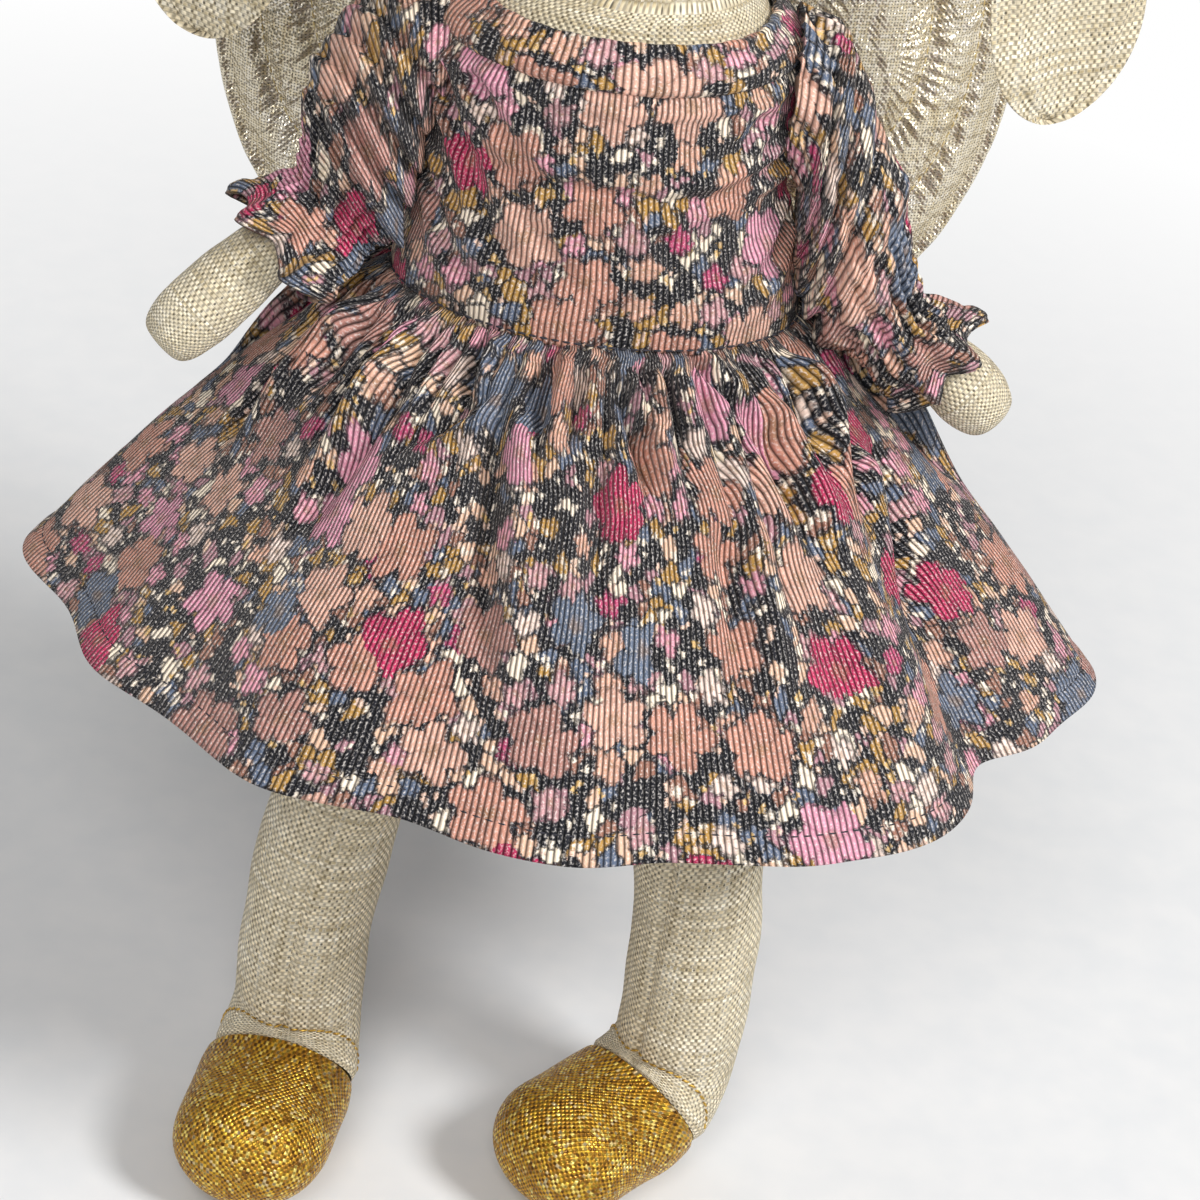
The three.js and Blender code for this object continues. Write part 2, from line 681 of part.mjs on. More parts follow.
function armSpine(side) {
  const inSleeve = SLEEVE_STATIONS.map((share) => sleeveCut(side, share, 0).centre);
  const mouth = sleeveCut(side, 1, 1).centre;
  const tip = armPoint(side, HAND_TIP[side]);
  return new THREE.CatmullRomCurve3([new THREE.Vector3(), ...inSleeve, mouth, tip]);
}

function armCut(spine, along, halfWidth, halfDepth) {
  const heading = spine.getTangentAt(along);
  const through = new THREE.Vector3().crossVectors(heading, Y_AXIS).normalize();
  return section(spine.getPointAt(along), Y_AXIS, through, halfWidth, halfDepth);
}

// The share of the arm's length at which the cuff sits.
function cuffShare(spine) {
  const lengths = spine.getLengths();
  const last = lengths.length - 1;
  const spans = SLEEVE_STATIONS.length + 2;
  return lengths[Math.round((last * SLEEVE_STATIONS.length) / spans)] / lengths[last];
}

// The arm's section at a share of its length, shrunk towards the end of the hand.
function armSection(spine, along, shrink) {
  const cuff = cuffShare(spine);
  const full = smooth(along, ...UPPER_ARM_SPAN);
  const drawn = smooth(along, Math.min(UPPER_ARM_SPAN[1], cuff / 2), cuff);
  const past = smooth(along, cuff, lerp(cuff, 1, HAND_LENGTH_SHARE));
  const below = lerp(lerp(ARM_RADIUS, WRIST_RADIUS, drawn), HAND_RADIUS, past);
  const halfWidth = lerp(ARM_ROOT_WIDTH, below, full);
  const halfDepth = lerp(ARM_ROOT_THICKNESS, below, full);
  return armCut(spine, along, halfWidth * shrink, halfDepth * shrink);
}

function armCuts(spine) {
  const cuts = [];
  for (let i = 0; i < ARM_STEPS; i += 1) {
    cuts.push(armSection(spine, (i / ARM_STEPS) * (1 - HAND_ROUND), 1));
  }
  cuts[0].through = UP;
  for (let i = 0; i < HAND_STEPS; i += 1) {
    const angle = (i / HAND_STEPS) * QUARTER_TURN;
    const along = 1 - HAND_ROUND * (1 - Math.sin(angle));
    cuts.push(armSection(spine, along, Math.cos(angle) ** HAND_BLUNTNESS));
  }
  return cuts;
}

for (const side of SIDES) {
  const arm = new THREE.Group();
  arm.position.set(outwards[side] * ARM_ROOT_X, 0, ARM_PIVOT_HEIGHT);
  arm.rotation.x = -rad(ARM_SWING[side]);
  bunny.add(arm);
  const spine = armSpine(side);
  const cuts = armCuts(spine).reverse();
  const heading = spine.getTangentAt(1);
  const pole = spine.getPointAt(1);
  const innerPole = pole.clone().addScaledVector(heading, -LINEN);
  addPiece(arm, `arm_skin_${side}`, loft(bagRows(cuts, ARM_SIDES, pole, innerPole, LINEN)), linen);

  const inset = LINEN + STUFFING_EASE;
  const body = cuts.slice(1, -2);
  const root = body[body.length - 1].centre;
  const tip = body[0].centre.clone().addScaledVector(heading, LINEN);
  const stuffing = loft([[tip], ...body.map((cut) => ring(cut, inset, ARM_SIDES)), [root]]);
  addPiece(arm, `arm_stuffing_${side}`, stuffing, fibre);

  const face = (clothInset) => {
    const rows = [];
    for (let i = 0; i <= SLEEVE_ROWS; i += 1) {
      rows.push(sleeveRing(side, i / SLEEVE_ROWS, 0, clothInset));
    }
    for (let i = 1; i <= FRILL_ROWS; i += 1) {
      rows.push(sleeveRing(side, 1, i / FRILL_ROWS, clothInset));
    }
    return rows;
  };
  addPiece(arm, `sleeve_${side}`, hoop([...face(0), ...face(CORD_CLOTH).reverse()]), needlecord);

  const halfBand = ELASTIC_WIDTH / 2 / spine.getLength();
  const cuff = cuffShare(spine);
  const inner = WRIST_RADIUS + STUFFING_EASE;
  const outer = inner + ELASTIC_THICKNESS;
  const bandRow = (place, radius) => ring(armCut(spine, cuff + place, radius, radius), 0, ARM_SIDES);
  const elastic = hoop([
    bandRow(-halfBand, outer),
    bandRow(halfBand, outer),
    bandRow(halfBand, inner),
    bandRow(-halfBand, inner),
  ]);
  addPiece(arm, `cuff_elastic_${side}`, elastic, rubber);
}

// Legs: flat at the hip seam, round below the swell, bowed apart, with the foot turned.
const LEG_SIDES = 14;
const HIP_PIVOT_HEIGHT = -HIP_SEAM_RADIUS - SEAM_GAP;
const LEG_TOP = HIP_PIVOT_HEIGHT - HIP_SEAM_RADIUS - SEAM_GAP;
const ANKLE_HEIGHT = SOLE_HEIGHT + LEG_RADIUS + ANKLE_BEND;
const TOE_SEAM_GAP = 2 * SEAM_GAP;
const SHIN_STEPS = 7;
const BEND_STEPS = 3;
const TOE_STEPS = 4;

function legSpine(side) {
  const out = outwards[side];
  return new THREE.CubicBezierCurve3(
    new THREE.Vector3(out * HIP_X, HIP_Y, LEG_TOP),
    new THREE.Vector3(out * HIP_X, HIP_Y, lerp(LEG_TOP, ANKLE_HEIGHT, THIGH_SHARE)),
    new THREE.Vector3(out * KNEE_X, HIP_Y, lerp(LEG_TOP, ANKLE_HEIGHT, KNEE_SHARE)),
    new THREE.Vector3(out * ANKLE_X, HIP_Y, ANKLE_HEIGHT),
  );
}

// The sections of one leg from the hip to the toes, split where the gold toe panel is sewn on.
function legCuts(side) {
  const spine = legSpine(side);
  const turn = rad(FOOT_TURN[side]);
  const forward = new THREE.Vector3(Math.sin(turn), -Math.cos(turn), 0);
  const sideways = new THREE.Vector3(Math.cos(turn), Math.sin(turn), 0);
  const upper = [];
  for (let i = 0; i <= SHIN_STEPS; i += 1) {
    const along = i / SHIN_STEPS;
    const heading = spine.getTangentAt(along);
    const twist = turn * smooth(along, ...LEG_TWIST_SPAN);
    const across = new THREE.Vector3(Math.cos(twist), Math.sin(twist), 0);
    across.addScaledVector(heading, -across.dot(heading)).normalize();
    const through = new THREE.Vector3().crossVectors(heading, across);
    const swell = smooth(along * spine.getLength(), 0, LEG_SWELL);
    const halfDepth = lerp(LEG_FLAT, LEG_RADIUS, swell);
    upper.push(section(spine.getPointAt(along), across, through, LEG_RADIUS, halfDepth));
  }
  const ankle = spine.getPointAt(1);
  const bendAt = (angle) => {
    const centre = ankle.clone();
    centre.addScaledVector(forward, ANKLE_BEND * (1 - Math.cos(angle)));
    centre.addScaledVector(UP, -ANKLE_BEND * Math.sin(angle));
    const through = forward.clone().multiplyScalar(Math.cos(angle)).addScaledVector(UP, Math.sin(angle));
    const width = lerp(LEG_RADIUS, FOOT_HALF_WIDTH, smooth(angle, 0, QUARTER_TURN));
    return section(centre, sideways, through, width, LEG_RADIUS);
  };
  const seam = rad(TOE_SEAM_TURN);
  for (let i = 1; i <= BEND_STEPS; i += 1) {
    upper.push(bendAt((i / BEND_STEPS) * seam));
  }
  const seamTurn = TOE_SEAM_GAP / ANKLE_BEND;
  const foot = bendAt(QUARTER_TURN);
  const toe = [bendAt(seam + seamTurn), foot];
  const straight = FOOT_LENGTH - LEG_RADIUS - ANKLE_BEND - TOE_ROUND;
  for (let i = 0; i < TOE_STEPS; i += 1) {
    const angle = (i / TOE_STEPS) * QUARTER_TURN;
    const centre = foot.centre.clone().addScaledVector(forward, straight + TOE_ROUND * Math.sin(angle));
    const shrink = Math.cos(angle) ** TOE_BLUNTNESS;
    toe.push(section(centre, sideways, UP, FOOT_HALF_WIDTH * shrink, LEG_RADIUS * shrink));
  }
  const tip = foot.centre.clone().addScaledVector(forward, straight + TOE_ROUND);
  return { upper, toe, tip, forward };
}

for (const side of SIDES) {
  const { upper, toe, tip, forward } = legCuts(side);
  const outer = upper.map((cut) => ring(cut, 0, LEG_SIDES));
  const inner = upper.map((cut) => ring(cut, LINEN, LEG_SIDES)).reverse();
  addPiece(bunny, `leg_skin_${side}`, hoop([...outer, ...inner]), linen);

  const back = forward.clone().multiplyScalar(-LINEN);
  const toeRows = bagRows([...toe].reverse(), LEG_SIDES, tip, tip.clone().add(back), LINEN);
  addPiece(bunny, `shoe_toe_${side}`, loft(toeRows), lurex);

  const inset = LINEN + STUFFING_EASE;
  const body = [...upper.slice(2), ...toe.slice(0, -1)];
  const rows = body.map((cut) => ring(cut, inset, LEG_SIDES));
  const end = body[body.length - 1].centre.clone().addScaledVector(forward, LINEN);
  addPiece(bunny, `leg_stuffing_${side}`, loft([[body[0].centre], ...rows, [end]]), fibre);
}

// Hip seam: the rolled edge under the seat that both leg tops are sewn to.
const HIP_SEAM_SIDES = 10;
{
  const length = 2 * (HIP_X + LEG_RADIUS);
  const roll = new THREE.CylinderGeometry(HIP_SEAM_RADIUS, HIP_SEAM_RADIUS, length, HIP_SEAM_SIDES);
  roll.rotateZ(QUARTER_TURN);
  addPiece(bunny, 'hip_seam', roll, linen).position.set(0, HIP_Y, HIP_PIVOT_HEIGHT);
}

// Wing patch: an oval on the back closing that both wings hang from.
const PATCH_FRONT_Y = DRESS_HALF_DEPTH + SEAM_GAP + STUD_THICKNESS + SEAM_GAP;
const WING_MIDDLE = (WING_ROOT_LOW + WING_ROOT_HIGH) / 2;
const PATCH_CURVE_STEPS = 18;
{
  const oval = new THREE.Shape();
  oval.absellipse(0, 0, PATCH_HALF_WIDTH, PATCH_HALF_HEIGHT, 0, FULL_TURN);
  const solid = { depth: PATCH_THICKNESS, bevelEnabled: false, curveSegments: PATCH_CURVE_STEPS };
  const plate = new THREE.ExtrudeGeometry(oval, solid);
  plate.rotateX(QUARTER_TURN);
  const patch = addPiece(bunny, 'wing_patch', plate, lame);
  patch.position.set(0, PATCH_FRONT_Y + PATCH_THICKNESS, WING_MIDDLE);
}

// Wings: two cloth layers quilted over wadding, hung from the patch and swept back.
const WING_THICKNESS = WING_WADDING + 2 * (WING_CLOTH + SEAM_GAP);
const WING_ROOT_STEP = 1;
const WING_ROOT_SWING = Math.hypot(WING_ROOT_STEP, WING_THICKNESS / 2);
const WING_ROOT_Y = PATCH_FRONT_Y + PATCH_THICKNESS + SEAM_GAP + WING_ROOT_SWING;

// The outline as shares of the span and of the height, each curve as two handles and an end.
const WING_CURVE_STEPS = 7;
const WING_LOWEST = 0.66;
const WING_HIGHEST = 0.7;
const WING_WIDEST = 0.48;
const WING_ROOT_HANDLE = 0.21;
const WING_LOBE_HANDLE = 0.42;
const WING_TIP_HANDLES = { low: 0.82, below: 0.2, above: 0.78, high: 0.88 };
function wingOutline() {
  const height = (share) => lerp(WING_BOTTOM, WING_TOP, share);
  const outline = new THREE.Shape();
  outline.moveTo(WING_ROOT_STEP, WING_ROOT_LOW);
  outline.bezierCurveTo(
    WING_SPAN * WING_ROOT_HANDLE, WING_ROOT_LOW,
    WING_SPAN * WING_LOBE_HANDLE, WING_BOTTOM,
    WING_SPAN * WING_LOWEST, WING_BOTTOM,
  );
  outline.bezierCurveTo(
    WING_SPAN * WING_TIP_HANDLES.low, WING_BOTTOM,
    WING_SPAN, height(WING_TIP_HANDLES.below),
    WING_SPAN, height(WING_WIDEST),
  );
  outline.bezierCurveTo(
    WING_SPAN, height(WING_TIP_HANDLES.above),
    WING_SPAN * WING_TIP_HANDLES.high, WING_TOP,
    WING_SPAN * WING_HIGHEST, WING_TOP,
  );
  outline.bezierCurveTo(
    WING_SPAN * WING_LOBE_HANDLE, WING_TOP,
    WING_SPAN * WING_ROOT_HANDLE, WING_ROOT_HIGH,
    WING_ROOT_STEP, WING_ROOT_HIGH,
  );
  return outline;
}

for (const side of SIDES) {
  const out = outwards[side];
  const wing = new THREE.Group();
  wing.position.set(out * WING_ROOT_X, WING_ROOT_Y, 0);
  wing.rotation.z = out * rad(WING_SWEEP);
  bunny.add(wing);
  const layer = (name, nearest, thickness, finish) => {
    const solid = { depth: thickness, bevelEnabled: false, curveSegments: WING_CURVE_STEPS };
    const sheet = new THREE.ExtrudeGeometry(wingOutline(), solid);
    sheet.rotateX(QUARTER_TURN);
    sheet.translate(0, nearest + thickness - WING_THICKNESS / 2, 0);
    if (out < 0) {
      sheet.rotateZ(FULL_TURN / 2);
      sheet.translate(0, 2 * nearest + thickness - WING_THICKNESS, 0);
    }
    addPiece(wing, name, sheet, finish);
  };
  layer(`wing_front_${side}`, 0, WING_CLOTH, lame);
  layer(`wing_wadding_${side}`, WING_CLOTH + SEAM_GAP, WING_WADDING, fibre);
  layer(`wing_back_${side}`, WING_CLOTH + 2 * SEAM_GAP + WING_WADDING, WING_CLOTH, lame);
}

export default bunny;
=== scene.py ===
# A linen plush bunny in a gathered floral needlecord dress, with quilted fairy wings.
# Sizes are written in millimetres. The toy faces -Y and its own left side is +X.
import math
import random
from bisect import bisect_right
from collections import namedtuple
from functools import lru_cache

import bmesh
import bpy
from mathutils import Matrix, Quaternion, Vector, noise


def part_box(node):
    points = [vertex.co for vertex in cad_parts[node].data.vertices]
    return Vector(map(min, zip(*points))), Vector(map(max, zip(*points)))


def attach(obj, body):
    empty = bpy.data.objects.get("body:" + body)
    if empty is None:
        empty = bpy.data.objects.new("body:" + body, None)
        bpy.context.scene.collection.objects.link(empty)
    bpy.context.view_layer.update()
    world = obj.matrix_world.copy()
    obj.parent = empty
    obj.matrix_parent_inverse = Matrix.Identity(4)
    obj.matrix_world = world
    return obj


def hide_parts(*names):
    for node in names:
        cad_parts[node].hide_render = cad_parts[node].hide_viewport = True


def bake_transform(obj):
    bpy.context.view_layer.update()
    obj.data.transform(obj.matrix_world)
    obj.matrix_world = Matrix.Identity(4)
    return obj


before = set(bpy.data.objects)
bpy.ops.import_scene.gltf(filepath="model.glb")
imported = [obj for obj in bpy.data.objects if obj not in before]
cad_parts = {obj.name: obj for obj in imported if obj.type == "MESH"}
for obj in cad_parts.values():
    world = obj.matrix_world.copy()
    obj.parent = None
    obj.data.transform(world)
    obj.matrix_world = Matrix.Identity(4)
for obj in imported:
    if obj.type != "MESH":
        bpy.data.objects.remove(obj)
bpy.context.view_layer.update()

MM = 0.001
TURN = 2 * math.pi
SIDES = ("left", "right")
OUTWARDS = {"left": 1, "right": -1}
X_AXIS = Vector((1, 0, 0))
Y_AXIS = Vector((0, 1, 0))
UP = Vector((0, 0, 1))

# Torso and dress body
CHEST_HALF_WIDTH = 33.5
HIP_HALF_WIDTH = 38.5
TORSO_HALF_DEPTH = 25
SEAT_HALF_WIDTH = 29
SEAT_HALF_DEPTH = 20
SEAT_BACK = 2
BODY_LEAN = 3.2
WAIST_HEIGHT = 38
CHEST_HEIGHT = 66
SHOULDER_HEIGHT = 89
BOTTOM_ROUND = 12
SHOULDER_CURVE = [(33.5, 25, 89), (33.5, 25, 97), (27, 21.5, 102), (21, 19.5, 105)]
NECK_PIVOT_HEIGHT = 110
NECK_BALL = 17
DRESS_OUTSIDE = 1.7
WAIST_HALF_WIDTH = HIP_HALF_WIDTH + DRESS_OUTSIDE
DRESS_HALF_DEPTH = TORSO_HALF_DEPTH + DRESS_OUTSIDE
NECKBAND_WIDTH = 11
NECKLINE_FRONT = 89
NECKLINE_BACK = 93
# Shares of the torso's rows at which its seat, its rounded bottom and its sides end
SEAT_END, BOTTOM_END, SIDES_END = 0.1, 0.2, 0.8
# Shares of the neckband's rows at which its outside and its folded edge end, how far it stands out from the
# dress, and half the fold's thickness
BAND_OUTSIDE, BAND_FOLD = 0.6, 0.75
BAND_STAND = 0.9
BAND_HALF_FOLD = 1.2

# Skirt
SKIRT_TOP = 37.7
HEM_HEIGHT = -40
HEM_HALF_WIDTH = 107
HEM_HALF_DEPTH = 84
SKIRT_BELL = 0.86
HEM_STITCH = 0.945
SKIRT_COLUMNS = 560

# The cloth of a piece laid flat, across and along, and where on the uncut cloth it lies
TORSO_CLOTH = (190, 175)
BODICE_CLOTH = (246, 60)
NECKBAND_CLOTH, NECKBAND_CUT = (178, 19), 60
SKIRT_CLOTH, SKIRT_CUT = (600, 104), 300
SLEEVE_CLOTH, SLEEVE_CUT = (66, 105), {"left": 20, "right": 420}
ARM_CLOTH, ARM_CLOTH_EASE = 60, 1.2
LEG_CLOTH = 88
HIP_SEAM_CLOTH = (9, 75)
HEAD_CLOTH = (145, 268)
EAR_LINING_CUT = 60
TOE_CLOTH_RADIUS = 15.5

# Head and ears
HEAD_HALF = (46, 40, 45)
HEAD_CENTRE = Vector((0, 0, 161))
EAR_ROOT = (23, 201.4)
EAR_REACH = 59
EAR_TIP_HEIGHT = {"left": 84, "right": 80}
EAR_WIDTH = 36
EAR_ROOT_WIDTH = 17
EAR_ROUND = 0.84
EAR_TWIST = math.radians(62)
# The face, in degrees aside and up from its middle
EYE_TURN, EYE_LIFT = 26, 6
NOSE_SPREAD, NOSE_LIFT = 5.4, -9
MOUTH_SPREAD = 8
MOUTH_TOP, MOUTH_MIDDLE, MOUTH_CORNER = -13, -18, -21
EYE_RADIUS = 3.2
EYE_DEPTH = 2.2
NOSE_HALF_HEIGHT = 3.1

# Arms and sleeves: points are (outwards, upwards) from the shoulder, before the arm swings forward
SHOULDER = (35.5, 87)
ARM_SWING = {"left": math.radians(8), "right": math.radians(22)}
SLEEVE_OVER = {
    "left": [(0, 13), (8, 5), (17, -20), (29, -42)],
    "right": [(0, 13), (17, 8), (25, -12), (25, -30)],
}
SLEEVE_UNDER = {
    "left": [(0, -14), (1.5, -30), (6, -48), (20, -58)],
    "right": [(0, -14), (3, -26), (4, -38), (10.5, -45)],
}
FRILL_OVER = {"left": (40.5, -47), "right": (36, -36)}
FRILL_UNDER = {"left": (29, -64), "right": (19.5, -54)}
HAND_TIP = {"left": (47, -65), "right": (47, -66)}
SLEEVE_PUFF = 14
CUFF_HALF_WIDTH = 9.5
FRILL_HALF_WIDTH = 12
ARM_RADIUS = 7.2
WRIST_RADIUS = 5.8
HAND_RADIUS = 7.6
ARM_ROOT_HALF_WIDTH = 4
ARM_ROOT_HALF_DEPTH = 2
# The share of an arm's rows above its rounded end, and that end's share of the length
HAND_ROWS = 0.75
HAND_ROUND = 0.12
SLEEVE_TUCK = {"left": 4.5, "right": 1.5}

# Legs and feet
LEG_RADIUS = 14
LEG_SWELL = 27
LEG_TOP = -3.4
LEG_ROOT_DEPTH = 1.7
KNEE_OUT = 44
ANKLE_OUT = 42
HIP = (23.5, -18)
HIP_PIVOT_HEIGHT = -1.7
HIP_SEAM_HALF = 37.5
HIP_SEAM_RADIUS = 1.4
ANKLE_HEIGHT = -136
FOOT_HALF_WIDTH = 17
FOOT_TURN = {"left": math.radians(-45), "right": math.radians(-12)}
ANKLE_BEND = 16
TOE_SEAM_TURN = math.radians(62)
TOE_STRAIGHT = 14
TOE_ROUND = 16
# Shares of the toe panel's rows at which its bend and its straight part end
TOE_BEND_END, TOE_STRAIGHT_END = 0.2, 0.5
SOLE_HEIGHT = -166

# Wings
WING_SPAN = 80
WING_TOP = 140
WING_BOTTOM = 17
WING_ROOT = (6, 32.417)
WING_ROOT_IN = 1
WING_ROOT_LOW = 48
WING_ROOT_HIGH = 84
WING_CENTRE = Vector((44, 0, 76))
WING_SWEEP = math.radians(15)
WING_PIPING = 2.2
QUILT_LINES = (0.3, 0.6)
# Rows of a wing lie closer together towards its edge, by this power
WING_ROW_POWER = 1.15
PATCH_HALF_WIDTH = 10
PATCH_HALF_HEIGHT = 21
PATCH_BEHIND = 29.1
PATCH_HEIGHT = 66
STUD_RADIUS = 3.5
STUD_THICKNESS = 0.5

# Floor and world: the drop in millimetres, the distances in metres
FLOOR_DROP = 1.5
FLOOR_REACH = 60.0
WHITE_FROM, WHITE_TO = 0.25, 0.6
WORLD_LIGHT = 0.24


def mix(a, b, share):
    return a + (b - a) * share


def ease(value, low, high):
    share = min(1.0, max(0.0, (value - low) / (high - low)))
    return share * share * (3 - 2 * share)


def hill(value, middle, spread):
    return math.exp(-(((value - middle) / spread) ** 2))


def pleat(turns):
    """Round ridges with sharp valleys, from -1 to 1, one ridge a turn."""
    return 2 * abs(math.sin(math.pi * turns)) - 1


def rumple(point, size, seed):
    """Soft unevenness of stuffed cloth, from -1 to 1, with lumps of the size given."""
    return noise.noise(point / size + Vector((seed * 7.31, seed * 3.17, seed * 5.71)))


def spaced(start, end, steps):
    """Even steps from start to end, with both ends."""
    return [mix(start, end, i / steps) for i in range(steps + 1)]


def bezier(points, share):
    points = [Vector(point) for point in points]
    while len(points) > 1:
        points = [a.lerp(b, share) for a, b in zip(points, points[1:])]
    return points[0]


class Path:
    """A run of points that is read by its share of the length."""

    def __init__(self, points):
        self.points = [Vector(point) for point in points]
        self.reach = [0.0]
        for a, b in zip(self.points, self.points[1:]):
            self.reach.append(self.reach[-1] + (b - a).length)
        self.length = self.reach[-1]

    def at(self, share):
        wanted = min(1.0, max(0.0, share)) * self.length
        i = min(len(self.points) - 2, max(0, bisect_right(self.reach, wanted) - 1))
        span = self.reach[i + 1] - self.reach[i]
        return self.points[i].lerp(self.points[i + 1], (wanted - self.reach[i]) / span)

    def heading(self, share):
        step = 0.01
        return (self.at(share + step) - self.at(share - step)).normalized()


def curve_path(knots, steps=60):
    return Path([bezier(knots, share) for share in spaced(0, 1, steps)])


SPAN_STEPS = 12


def smooth_path(knots):
    """A curve through the knots, in even steps from each knot to the next."""
    knots = [Vector(knot) for knot in knots]
    ends = [2 * knots[0] - knots[1]] + knots + [2 * knots[-1] - knots[-2]]
    points = []
    for a, b, c, d in zip(ends, ends[1:], ends[2:], ends[3:]):
        for t in spaced(0, 1, SPAN_STEPS)[:-1]:
            rest = (3 * (b - c) + d - a) * t ** 3
            points.append((2 * b + (c - a) * t + (2 * a - 5 * b + 4 * c - d) * t ** 2 + rest) / 2)
    return Path(points + [knots[-1]])


# Finishes


def colour(code):
    """An sRGB hex colour as linear red, green, blue and opacity."""
    parts = [int(code[i:i + 2], 16) / 255 for i in (1, 3, 5)]
    return tuple(p / 12.92 if p <= 0.04045 else ((p + 0.055) / 1.055) ** 2.4 for p in parts) + (1.0,)


def add(tree, kind, inputs=None, stops=(), between="LINEAR", **settings):
    """Adds a node, with its settings, its numbers, its links and a ramp's colours, and gives its outputs."""
    made = tree.nodes.new("ShaderNode" + kind)
    for name, value in settings.items():
        setattr(made, name, value)
    for name, value in (inputs or {}).items():
        if isinstance(value, bpy.types.NodeSocket):
            tree.links.new(value, made.inputs[name])
        else:
            made.inputs[name].default_value = value
    if stops:
        made.color_ramp.interpolation = between
        while len(made.color_ramp.elements) < len(stops):
            made.color_ramp.elements.new(0.5)
        for element, (place, code) in zip(made.color_ramp.elements, stops):
            element.position = place
            element.color = colour(code)
    return made.outputs


def new_finish(name):
    material = bpy.data.materials.new(name)
    material.use_nodes = True
    material.node_tree.nodes.clear()
    return material, material.node_tree


# Real sizes in the finishes, the small ones as a count over 10 or 100 mm: ridges, pile tufts, leaves and
# running inks of the needlecord, the slow drift of ridges and threads, and how long a thread stays thick
WALE = 1.21 * MM
WALE_DRIFT = 100 * MM / 7
TUFT = 10 * MM / 23
LEAF = 3.7 * MM
INK_BLEED = 100 * MM / 21
THREAD_DRIFT = 100 * MM / 16
SLUB_LENGTH = 25 * MM
LAME_CREASE = 100 * MM / 26
PLY = 10 * MM / 16
GLASS_RIPPLE = 2 * MM
SCUFF = 10 * MM / 9
PAPER_GRAIN = 100 * MM / 9


